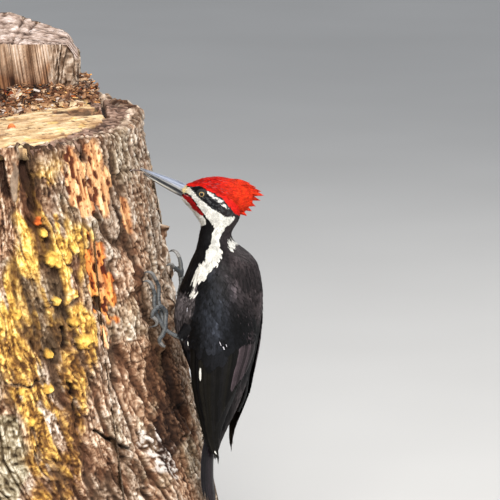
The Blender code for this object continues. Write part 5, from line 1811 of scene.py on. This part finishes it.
def build_bark(materials):
    """The bark, as three thick curved shells that meet edge to edge."""
    for name, first, last, columns, rows in BARK_PIECES:
        turn = np.radians(np.linspace(first, last, columns))
        radius = trunk_radius(turn, SAW_HEIGHT)
        rim = np.stack([radius * np.cos(turn), radius * np.sin(turn), 0 * turn], -1)
        ragged = noise(*(rim[:, :2].T / 0.014), 0.5, 110) + noise(*(rim[:, :2].T / 0.005), 0.5, 112)
        top = cut_height(rim) + 0.0030 * ragged
        share = np.linspace(0, 1, rows)[:, None]
        height = TRUNK_FOOT + (top - TRUNK_FOOT) * share
        turns = np.broadcast_to(turn, height.shape)
        relief, tone, depth = bark_relief(turns, height)
        radius = trunk_radius(turns, height)
        mean = np.stack([radius * np.cos(turns), radius * np.sin(turns), height], -1)
        colour = bark_colours(mean, tone)
        relief, colour = worn_places(mean, relief, colour, tone, depth)
        calm = near_claws(mean)
        relief = np.minimum(relief - 0.0026, 0.0022) * calm + 0.0003 * (1 - calm)
        relief = relief + splinter_relief(turns, height)
        under_bird = (
            smooth(0.60, 0.45, np.abs(turns - FACING)) * smooth(0.15, 0.19, height)
            * smooth(0.31, 0.28, height)
        )
        relief = relief + (0.0022 + 0.0022 * np.exp(-(((height - 0.250) / 0.012) ** 2))) * under_bird
        radius = radius + relief - 0.003 * smooth(0.994, 1.0, share)
        outside = np.stack([radius * np.cos(turns), radius * np.sin(turns), height], -1)
        inside_radius = radius.min() - WALL
        inner = rim * (inside_radius / np.hypot(rim[:, :1], rim[:, 1:2]))
        inner = np.stack([inner + (0, 0, 1) * (top[:, None] - 0.012), inner + (0, 0, TRUNK_FOOT)])
        lip, lip_colour = bark_lip(turn, radius[-1], top)
        rings = np.concatenate([outside, lip, inner]).swapaxes(0, 1)
        # the inner wall takes the bark's colour darkened to 0.6: painted shade inside the trunk
        shades = np.concatenate([colour, lip_colour, colour[-1:] * 0.6, colour[:1] * 0.6]).swapaxes(0, 1)
        shape = Shape()
        add_rings(shape, rings, shades)
        bark = shape.build(name, materials["bark"], mapped=False)
    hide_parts("perch_trunk")


HOLLOW = (0.088, 0.017, 0.024, 0.015)  # across, along, half widths
RIM_CRACK = (0.1026, 0.114, 0.1110, 0.005)
RESIN_BLOB = (0.013, -0.060, 0.0046, 0.0075)
CHIP_TRIES = 9000
CHIP_CORNERS = np.array([(x, y, z) for x in (-1, 1) for y in (-1, 1) for z in (-1, 1)])
CHIP_FACES = np.array([(0, 1, 3, 2), (4, 6, 7, 5), (0, 4, 5, 1), (2, 3, 7, 6), (0, 2, 6, 4), (1, 5, 7, 3)])


def heap_start(across):
    return np.interp(across, (-0.12, 0.0, 0.037, 0.085, 0.105), (-0.020, -0.003, 0.034, 0.046, 0.070))


def rubble_share(across, along):
    """Where broken wood is piled up against the slab: 0 on the clean cut, 1 at the slab's foot."""
    start = heap_start(across)
    reach = np.clip((along - start) / np.maximum(SLAB_SETBACK - start, 0.012), 0, 1)
    return reach * smooth(0.1035, 0.0850, across)


def cut_relief(across, along):
    """Height and colour of the saw cut's surface, from its pale middle to the weathered rim, with painted
    shade along flake edges and in the rim crack, and painted shading on the resin blob.
    """
    wobble = (
        0.006 * noise(across * 60, along * 60, 0.5, 112) + 0.003
        * noise(across * 190, along * 190, 0.5, 126)
    )
    fresh = inside(FRESH_CUT, across + wobble, along + 2 * wobble).astype(float)
    turn = math.radians(28)
    s = across * math.cos(turn) + along * math.sin(turn)
    t = along * math.cos(turn) - across * math.sin(turn)
    streak = noise(s / 0.022, t / 0.0060, 0.5, 113)
    fine = noise(s / 0.010, t / 0.0024, 0.5, 127)
    lift, _ = terraces(noise(s / 0.030, t / 0.011, 0.5, 128), 3, 0.2)
    chips = noise(across / 0.0042, along / 0.0070, 0.5, 114)
    flakes, cut = terraces(noise(across / 0.0085, along / 0.0120, 0.5, 129), 4, 0.16)
    ridges = noise(across / 0.016, along / 0.022, 0.5, 115)
    relief = 0.0008 * streak + 0.0006 * fine + 0.0022 * (lift - 0.5)
    rough = 0.0016 * ridges + 0.0016 * chips + 0.0032 * (flakes - 0.5) - 0.0016
    bright = np.clip(0.60 + 0.34 * streak + 0.26 * fine + 0.30 * (lift - 0.5) + 0.16 * chips, 0, 1)
    stain = smooth(0.22, 0.55, noise(across * 48, along * 34, 0.5, 116))
    pale = mix(palette(bright, SAWN_WOOD), palette(bright, RUBBLE), stain * 0.5)
    gold = smooth(0.25, 0.50, noise(across * 90, along * 60, 0.5, 141)) * 0.45
    pale = mix(pale, palette(np.clip(bright + 0.1, 0, 1), GOLD), gold)
    speck = smooth(0.42, 0.58, noise(s / 0.0052, t / 0.0030, 0.5, 142))
    pale = mix(pale, palette(bright * 0.5, RUBBLE), speck * 0.75)
    # painted shade along the steep edges of the flakes
    tone = (
        np.clip(0.44 + 0.30 * chips + 0.20 * ridges + 0.34 * (flakes - 0.5) + 0.26 * fine, 0, 1)
        * (1 - 0.6 * cut)
    )
    weathered = mix(palette(tone, GREY_BARK), palette(tone, RUST_AND_SHADOW_BARK), 0.55 * smooth(-0.3, 0.4, ridges))
    weathered = weathered * (0.88, 0.78, 0.80)
    relief = relief * fresh + rough * (1 - fresh)
    colour = mix(weathered, pale, fresh)
    hollow = patch(across, along, HOLLOW, 0.5, 90.0, 130)
    relief = relief - 0.0040 * hollow
    colour = mix(colour, palette(tone * 0.70, RUBBLE), smooth(0.0, 0.3, hollow) * 0.92)
    pile = rubble_share(across, along)
    heap = (
        0.013 + 0.010 * smooth(0.0, 0.05, across + 0.03) + 0.0020
        * noise(across / 0.018, along / 0.018, 0.5, 135)
    )
    heap = heap - 0.005 * smooth(SLAB_RIGHT, SLAB_RIGHT + 0.010, across)
    shards = noise(s / 0.0085, t / 0.0034, 0.5, 136)
    relief = relief + smooth(-0.35, 1.0, pile) * heap * smooth(0, 0.12, pile) + smooth(0, 0.1, pile) * (
        0.0012 * chips + 0.0010 * shards)
    # painted shade along the flake edges here too
    broken = np.clip(0.30 + 0.42 * shards + 0.40 * chips + 0.34 * fine, 0, 1) * (1 - 0.35 * cut)
    litter = mix(palette(broken, RUBBLE), palette(broken, HOT_WOOD), 0.55
        * smooth(0.15, 0.5, ridges + 0.5 * shards))
    colour = mix(colour, litter, smooth(0.02, 0.16, pile + 0.08 * chips))
    c0, a0, c1, a1 = RIM_CRACK
    far = np.abs(across - c0 - (c1 - c0) * (along - a0) / (a1 - a0) + 0.003 * noise(along * 90, 0, 0.5, 131))
    gap = smooth(0.0034, 0.0012, far) * smooth(a1 - 0.012, a1, along) * smooth(a0 + 0.02, a0, along)
    relief = relief - 0.007 * gap
    # painted shade in the rim crack
    colour = mix(colour, (0.010, 0.005, 0.004), gap * 0.95)
    # The resin blob is dark red at its rim and bright orange on top: painted shading of the dome.
    ba, bl, half_a, half_l = RESIN_BLOB
    dome = np.sqrt(np.clip(1 - ((across - ba) / half_a) ** 2 - ((along - bl) / half_l) ** 2, 0, 1))
    return relief + 0.0050 * dome, mix(colour, mix((0.34, 0.05, 0.01), (0.80, 0.22, 0.06), dome),
        smooth(0, 0.2, dome))


def build_sawn_face(materials):
    """The sloping cut, as a thick disc whose rim lies inside the bark."""
    near = np.radians(np.linspace(-88, 78, 440, endpoint=False))
    turn = np.concatenate([near, np.radians(np.linspace(78, 272, 100, endpoint=False))])
    share = np.sin(np.linspace(0.0, 1.0, 140) * math.pi / 2)[:, None]
    rim = trunk_radius(turn, SAW_HEIGHT) - 0.0088
    radius = rim * np.maximum(share, 0.01)
    points = np.stack([radius * np.cos(turn), radius * np.sin(turn), 0 * radius], -1)
    relief, colour = cut_relief(*on_cut(points))
    points[..., 2] = cut_height(points) + relief - 0.0026 * smooth(0.94, 1.0, share)
    under = points[-1:] - (0, 0, 0.012)
    below = under * (0.25, 0.25, 1.0)
    shape = Shape()
    # the rim's underside and the bottom, inside the trunk, are darkened to 0.4: painted shade
    tints = np.concatenate([colour, colour[-1:] * 0.4, colour[-1:] * 0.4])
    add_rings(shape, np.concatenate([points, under, below]), tints, flip=True)
    shape.build("sawn_face", materials["wood"], mapped=False)


def build_chips(materials):
    """Chips and splinters of broken wood, lying on the heap and along its foot."""
    rng = np.random.default_rng(31)
    across = rng.uniform(-0.125, 0.104, CHIP_TRIES)
    along = rng.uniform(-0.032, 0.118, CHIP_TRIES)
    start = heap_start(across)
    share = (along - start) / np.maximum(SLAB_SETBACK - start, 0.012)
    c, s = math.cos(FACING), math.sin(FACING)
    middle = np.stack([across * c - along * s, across * s + along * c, 0 * across], -1)
    reach = trunk_radius(np.arctan2(middle[:, 1], middle[:, 0]), SAW_HEIGHT) - 0.012
    density = np.where(share < 0, 0.30 * (share > -0.22), 1.0)
    density = np.where((along > SLAB_SETBACK + 0.002) & (across < SLAB_RIGHT + 0.002), 0.0, density)
    kept = (np.hypot(middle[:, 0], middle[:, 1]) < reach) & (rng.uniform(0, 1, CHIP_TRIES) < density)
    across, along, middle = across[kept], along[kept], middle[kept]
    count = len(middle)
    middle[:, 2] = cut_height(middle) + cut_relief(across, along)[0] + rng.uniform(-0.0004, 0.0010, count)
    half = np.stack([rng.uniform(0.0014, 0.0052, count), rng.uniform(0.0006, 0.0020, count),
                     rng.uniform(0.0003, 0.0011, count)], -1)
    half = half * np.where(rng.uniform(0, 1, count) < 0.12, 1.5, 1.0)[:, None]
    turn = FACING + rng.normal(0, 0.65, count)
    tilt = rng.normal(0, 0.35, count)
    level = np.stack([np.cos(turn) * np.cos(tilt), np.sin(turn) * np.cos(tilt), np.sin(tilt)], -1)
    other = unit(np.cross(level, rng.normal(0, 0.4, (count, 3)) + (0, 0, 1)))
    axes = np.stack([level, other, np.cross(level, other)], 1)
    corners = half[:, None] * CHIP_CORNERS * rng.uniform(0.45, 1.0, (count, 8, 1))
    points = middle[:, None] + (corners[..., None] * axes[:, None]).sum(2)
    clump = noise(across / 0.011, along / 0.006, 0.5, 151)
    tone = np.clip(rng.normal(0.36, 0.22, count) + 0.55 * clump, 0, 1)
    tint = palette(tone, RUBBLE)
    kind = rng.uniform(0, 1, count)
    tint = np.where((kind > 0.76)[:, None], palette(tone, HOT_WOOD) * 0.8, tint)
    tint = np.where((kind > 0.84)[:, None], palette(tone, OLD_WOOD), tint)
    shape = Shape()
    faces = (np.arange(count)[:, None, None] * 8 + CHIP_FACES).reshape(-1, 4)
    shape.add(points, [faces], np.repeat(tint, 8, 0))
    chips = shape.build("wood_chips", materials["wood"], mapped=False)
    chips.data.shade_flat()


def slab_top(points):
    """The trunk's old top over the slab, with its broken right shoulder."""
    across, along = on_cut(points)
    top = SLAB_TOP + (along - SLAB_SETBACK) * (SLAB_RISE - SLAB_TWIST * np.maximum(across, 0))
    return np.minimum(top, CORNER[1] - math.tan(CORNER_TILT) * (across - CORNER[0]))


def slab_outline(count):
    """The slab seen from above: across and along, from its torn face, and each point's side."""
    reach = trunk_radius(math.radians(107), 0.57)
    right = np.array((SLAB_RIGHT, math.sqrt(reach**2 - SLAB_RIGHT**2)))
    left = np.array((SLAB_LEFT, math.sqrt(reach**2 - SLAB_LEFT**2)))
    spread = np.linspace(0, 1, count) ** 0.6
    front = np.stack([SLAB_LEFT + (SLAB_RIGHT - SLAB_LEFT) * spread, np.full(count, SLAB_SETBACK)], -1)
    side = np.linspace((SLAB_RIGHT, SLAB_SETBACK), right, count // 3)[1:-1]
    ends = np.arctan2(right[1], right[0]), np.arctan2(left[1], left[0])
    arc = np.linspace(*ends, count // 2)
    back = reach * np.stack([np.cos(arc), np.sin(arc)], -1)
    other = np.linspace(left, (SLAB_LEFT, SLAB_SETBACK), count // 4)[1:-1]
    kinds = np.repeat([0, 1, 2, 1], [count, len(side), len(back), len(other)])
    return np.concatenate([front, side, back, other]), kinds


def build_slab(materials):
    """The part of the trunk left standing behind the cut, torn in front and barked behind."""
    outline, kinds = slab_outline(300)
    across, along = outline.T
    c, s = math.cos(FACING), math.sin(FACING)
    flat = np.stack([across * c - along * s, across * s + along * c, 0 * across], -1)
    low = SAW_HEIGHT + SAW_SLOPE * along - 0.004
    high = slab_top(flat)
    share = np.linspace(0, 1, 60)[:, None]
    height = low + (high - low) * share
    lean = SLAB_LEAN * (height - low) / 0.2
    slant = across + 0.16 * height
    fibre = noise(slant / 0.0020, along / 0.0020, height / 0.070, 121)
    plank = noise(slant / 0.0070, along / 0.0070, height / 0.400, 122)
    hair = noise(slant / 0.0011, along / 0.0011, height / 0.045, 146)
    split = np.maximum(line_of(plank, 0.06), 0.8
        * line_of(noise(slant / 0.0042, along / 0.0042, height / 0.200, 147), 0.06))
    turn = np.arctan2(flat[:, 1], flat[:, 0])
    turns = np.broadcast_to(turn, height.shape)
    relief, tone, _ = bark_relief(turns, height)
    barked = smooth(0.046, 0.066, across + 0.010 * plank)
    ahead = (
        lean + 0.0022 + 0.0026 * split - 0.0010 * fibre - 0.0011 * plank - barked
        * np.minimum(relief, 0.002)
    )
    ahead = np.where(kinds == 0, ahead, 0)
    inward = np.where(kinds == 1, 0.0016 - 0.8 * np.minimum(relief, 0.002), 0)
    a = np.broadcast_to(along, height.shape) + ahead
    x_across = across - np.sign(across) * inward
    out = np.where(kinds == 2, 1 + (np.minimum(relief, 0.0012) - 0.0004) / 0.17, 1.0)
    points = np.stack([(x_across * c - a * s) * out, (x_across * s + a * c) * out, height], -1)
    foot = smooth(0.62, 0.40, share + 0.25 * noise(across / 0.006, along / 0.01, height / 0.02, 132))
    blotch = noise(across / 0.014, along / 0.014, height / 0.030, 143)
    # painted shade: the sunken splits are painted dark
    bright = (
        np.clip(0.50 + 0.28 * fibre + 0.34 * hair + 0.10 * plank + 0.22 * blotch, 0, 1)
        * (1 - 0.85 * split)
    )
    torn = mix(palette(bright, OLD_WOOD), palette(bright, SAWN_WOOD), 0.25) * (0.90, 0.84, 0.82)
    torn = mix(torn, palette(np.clip(bright * 0.8, 0, 1), RUBBLE), foot)
    torn = mix(torn, palette(tone, GREY_BARK) * 0.8, barked * 0.85)
    colour = np.where((kinds == 0)[:, None], torn, bark_colours(points, tone))
    middle = points[-1].mean(0)
    caps = middle + (points[-1] - middle) * np.linspace(0.985, 0.06, 26)[:, None, None]
    lateral, deep = on_cut(caps)
    bearing = np.arctan2(deep + 0.010, lateral)
    rays = line_of(noise(np.cos(bearing) * 7, np.sin(bearing) * 7, 0.5, 133), 0.10)
    growth = noise(np.hypot(lateral, deep) / 0.0026, bearing * 3, 0.5, 134)
    rough = noise(lateral / 0.006, deep / 0.006, 0.5, 123) + noise(lateral / 0.0026, deep / 0.0026, 0.5, 124)
    caps[..., 2] = slab_top(caps) + 0.0009 * rough + 0.0004 * growth - 0.0030 * rays - 0.0005
    mottle = noise(lateral / 0.020, deep / 0.012, 0.5, 144)
    # painted shade: the sunken radial checks are painted darker
    cap_tone = np.clip(0.46 + 0.14 * growth + 0.26 * rough + 0.30 * mottle - 0.35 * rays, 0, 1)
    cap_colour = np.minimum(palette(cap_tone, OLD_WOOD) * (1.22, 1.22, 1.30), 0.9)
    shape = Shape()
    add_rings(shape, np.concatenate([points, caps]), np.concatenate([colour, cap_colour]))
    shape.build("standing_slab", materials["bark"], mapped=False)


# ----------------------------------------------------------------------------- other materials


def tinted(name, rough, bumps, specular=0.5, coat=0.0, rough_range=0.0, vary=0.25, stretch=(1, 1, 1)):
    """A surface that takes its broad colour from its mesh and adds finer mottling and relief."""
    material, tree, shader = new_material(name)
    colour = tint_of(tree)
    for scale, share in ((bumps[0][0], vary), (bumps[0][0] * 3.1, vary * 0.7)):
        mottle = ramp(tree, noise_node(tree, scale, 4.0, 0.65, stretch),
            ((0.28, grey(1 - share)), (0.72, grey(1 + share))))
        colour = mix_colours(tree, "MULTIPLY", 1.0, colour, mottle)
    tree.links.new(colour, shader.inputs["Base Color"])
    if rough_range:
        patchy = math_node(tree, "MULTIPLY_ADD", noise_node(tree, bumps[0][0] * 0.7, 3.0), rough_range)
        patchy.node.inputs[2].default_value = rough - rough_range / 2
        tree.links.new(patchy, shader.inputs["Roughness"])
    else:
        shader.inputs["Roughness"].default_value = rough
    shader.inputs["Specular IOR Level"].default_value = specular
    shader.inputs["Coat Weight"].default_value = coat
    height = None
    for scale, size in bumps:
        part = math_node(tree, "MULTIPLY", noise_node(tree, scale, 5.0, 0.62, stretch), size)
        height = part if height is None else math_node(tree, "ADD", height, part)
    bump(tree, shader, height, 0.8, 1.0)
    return material


def stand_material(name):
    """Satin black lacquer over turned wood."""
    material, tree, shader = new_material(name)
    grain = noise_node(tree, 60.0, 4.0, 0.6, (1, 1, 9))
    colour = ramp(tree, grain, ((0.3, (0.018, 0.017, 0.017)), (0.7, (0.030, 0.028, 0.027))))
    tree.links.new(colour, shader.inputs["Base Color"])
    rough = math_node(tree, "MULTIPLY_ADD", noise_node(tree, 25.0, 3.0), 0.12)
    rough.node.inputs[2].default_value = 0.30
    tree.links.new(rough, shader.inputs["Roughness"])
    bump(tree, shader, noise_node(tree, 700.0, 3.0), 0.15, 0.0001)
    return material


def floor_material():
    material, tree, shader = new_material("floor")
    tone = ramp(tree, noise_node(tree, 1.5, 2.0), ((0.3, (0.60, 0.59, 0.575)), (0.7, (0.64, 0.63, 0.615))))
    tree.links.new(tone, shader.inputs["Base Color"])
    shader.inputs["Roughness"].default_value = 0.85
    return material


def eye_material():
    material, tree, shader = new_material("eye")
    fine = ramp(tree, noise_node(tree, 2600.0, 3.0), ((0.3, grey(0.8)), (0.7, grey(1.15))))
    tree.links.new(mix_colours(tree, "MULTIPLY", 1.0, tint_of(tree), fine), shader.inputs["Base Color"])
    shader.inputs["Roughness"].default_value = 0.30
    shader.inputs["Specular IOR Level"].default_value = 0.1
    shader.inputs["Coat Weight"].default_value = 0.6
    shader.inputs["Coat Roughness"].default_value = 0.02
    return material


def make_materials():
    return {
        "coat": plumage("coat", 9.0, 0.50, 0.12, 0.30),
        "crest": plumage("crest", 7.0, 0.60, 0.10, 0.30),
        "wing": plumage("wing", 34.0, 0.38, 0.09, 0.30, 3.0),
        "skin": tinted("skin", 0.62, ((1400.0, 0.00008),), 0.35),
        "eye": eye_material(),
        "bill": tinted("bill", 0.36, ((420.0, 0.00004), (1800.0, 0.000012)), 0.5, 0.12, 0.14, 0.12,
        (1, 1, 1)),
        "scales": tinted("scales", 0.52, ((1500.0, 0.00005),), 0.45, 0.0, 0.1, 0.18),
        "claw": tinted("claw", 0.34, ((1300.0, 0.00003),), 0.5, 0.1, 0.0, 0.15),
        "bark": tinted("bark", 0.88, ((260.0, 0.0009), (900.0, 0.00035)), 0.25, 0.0, 0.1, 0.34, (1, 1, 0.45)),
        "wood": tinted("wood", 0.80, ((300.0, 0.0006), (1100.0, 0.00025)), 0.3, 0.0, 0.1, 0.26),
        "stand": stand_material("stand"),
    }


# ------------------------------------------------------------------------------ stand and studio


def turned_solid(name, profile_rows, material, around, centre=(0.0, 0.0)):
    """A solid turned from rows of radius and height, from its bottom middle to its top middle."""
    rows = np.array(profile_rows)
    angle = full_turn(around)
    rings = np.stack([
        centre[0] + rows[:, :1] * np.cos(angle),
        centre[1] + rows[:, :1] * np.sin(angle),
        np.broadcast_to(rows[:, 1:], (len(rows), around)),
    ], -1)
    shape = Shape()
    add_rings(shape, rings, (1.0, 1.0, 1.0))
    return shape.build(name, material, mapped=False)


def rounded(radius, low, high, bevel, steps=7):
    """The profile of a disc or rod with rounded rims."""
    turn = np.linspace(0, math.pi / 2, steps)
    lower = [(radius - bevel + bevel * math.sin(t), low + bevel - bevel * math.cos(t)) for t in turn]
    upper = [(radius - bevel + bevel * math.cos(t), high - bevel + bevel * math.sin(t)) for t in turn]
    return [(radius * 0.5, low), *lower, *upper, (radius * 0.5, high)]


def build_stand(materials):
    base = turned_solid("base_disc", rounded(BASE_RADIUS, 0.0, BASE_THICKNESS, 0.003), materials["stand"],
        192)
    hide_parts("stand_base")
    for number, x in ((1, -ROD_SPREAD), (2, ROD_SPREAD)):
        rows = rounded(ROD_RADIUS, BASE_THICKNESS - 0.0002, TRUNK_FOOT + 0.0002, 0.0006, 4)
        rod = turned_solid(f"rod_{number}", rows, materials["stand"], 64, (x, 0.0))
        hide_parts(f"stand_rod_{number}")


def build_floor():
    mesh = bpy.data.meshes.new("floor")
    half = 8.0
    mesh.from_pydata([(-half, -half, 0), (half, -half, 0), (half, half, 0), (-half, half, 0)], [],
        [(0, 1, 2, 3)])
    mesh.materials.append(floor_material())
    floor = bpy.data.objects.new("floor", mesh)
    bpy.context.scene.collection.objects.link(floor)


VIEW_AZIMUTH, VIEW_ELEVATION, VIEW_DISTANCE = math.radians(17), math.radians(10), 4.5
AIM = Vector((0.2795, 0.0091, 0.3956))


def view_back():
    """The direction from what the camera looks at to the camera."""
    flat = math.cos(VIEW_ELEVATION)
    return Vector((math.sin(VIEW_AZIMUTH) * flat, -math.cos(VIEW_AZIMUTH) * flat, math.sin(VIEW_ELEVATION)))


def build_camera():
    camera = bpy.data.objects.new("camera", bpy.data.cameras.new("camera"))
    bpy.context.scene.collection.objects.link(camera)
    camera.location = AIM + view_back() * VIEW_DISTANCE
    camera.rotation_euler = view_back().to_track_quat("Z", "Y").to_euler()
    camera.data.lens = 300
    camera.data.clip_end = 60
    bpy.context.scene.camera = camera


def area_light(name, azimuth, elevation, distance, size, power, colour):
    """A square lamp aimed at the bird, its azimuth turned from -Y towards +X."""
    lamp = bpy.data.lights.new(name, "AREA")
    lamp.size, lamp.energy, lamp.color = size, power, colour
    obj = bpy.data.objects.new(name, lamp)
    bpy.context.scene.collection.objects.link(obj)
    a, e = math.radians(azimuth), math.radians(elevation)
    back = Vector((math.sin(a) * math.cos(e), -math.cos(a) * math.cos(e), math.sin(e)))
    obj.location = Vector((0.20, 0.0, 0.35)) + back * distance
    obj.rotation_euler = back.to_track_quat("Z", "Y").to_euler()


def build_studio():
    area_light("key", 18, 40, 2.6, 1.3, 92, (1.0, 0.97, 0.92))
    area_light("fill", 88, 20, 3.0, 2.0, 24, (0.94, 0.97, 1.0))
    area_light("rim", 165, 48, 2.6, 1.4, 26, (1.0, 0.98, 0.95))
    world = bpy.data.worlds.new("studio")
    world.use_nodes = True
    world.node_tree.nodes["Background"].inputs[0].default_value = (0.90, 0.94, 1.0, 1.0)
    world.node_tree.nodes["Background"].inputs[1].default_value = 0.48
    bpy.context.scene.world = world
    bpy.context.scene.view_settings.view_transform = "Standard"


# ----------------------------------------------------------------------------------------- build


PLUMAGE_SEED = 20261122


def build_bird(materials):
    rng = np.random.default_rng(PLUMAGE_SEED)
    build_skin(materials)
    for sign in (-1, 1):
        build_eye(sign, materials)
    build_lids(materials)
    mandible(UPPER_BILL, "bill_top", "bill_upper", upper_colour, materials["bill"])
    mandible(LOWER_BILL, "bill_bottom", "bill_lower", lower_colour, materials["bill"])
    build_nasal_tufts(materials, rng)
    build_tongue(materials)
    build_head_coat(materials, rng)
    build_neck_coat(materials, rng)
    build_body_coat(materials, rng)
    build_thigh_coat(materials, rng)
    build_crest(materials, rng)
    for sign in (-1, 1):
        build_wing(sign, materials, rng)
    build_tail(materials, rng)
    build_tail_coverts(materials)
    build_legs(materials)


def main():
    materials = make_materials()
    build_bird(materials)
    build_bark(materials)
    build_sawn_face(materials)
    build_chips(materials)
    build_slab(materials)
    build_stand(materials)
    build_floor()
    build_studio()
    build_camera()
    bpy.context.view_layer.update()


main()
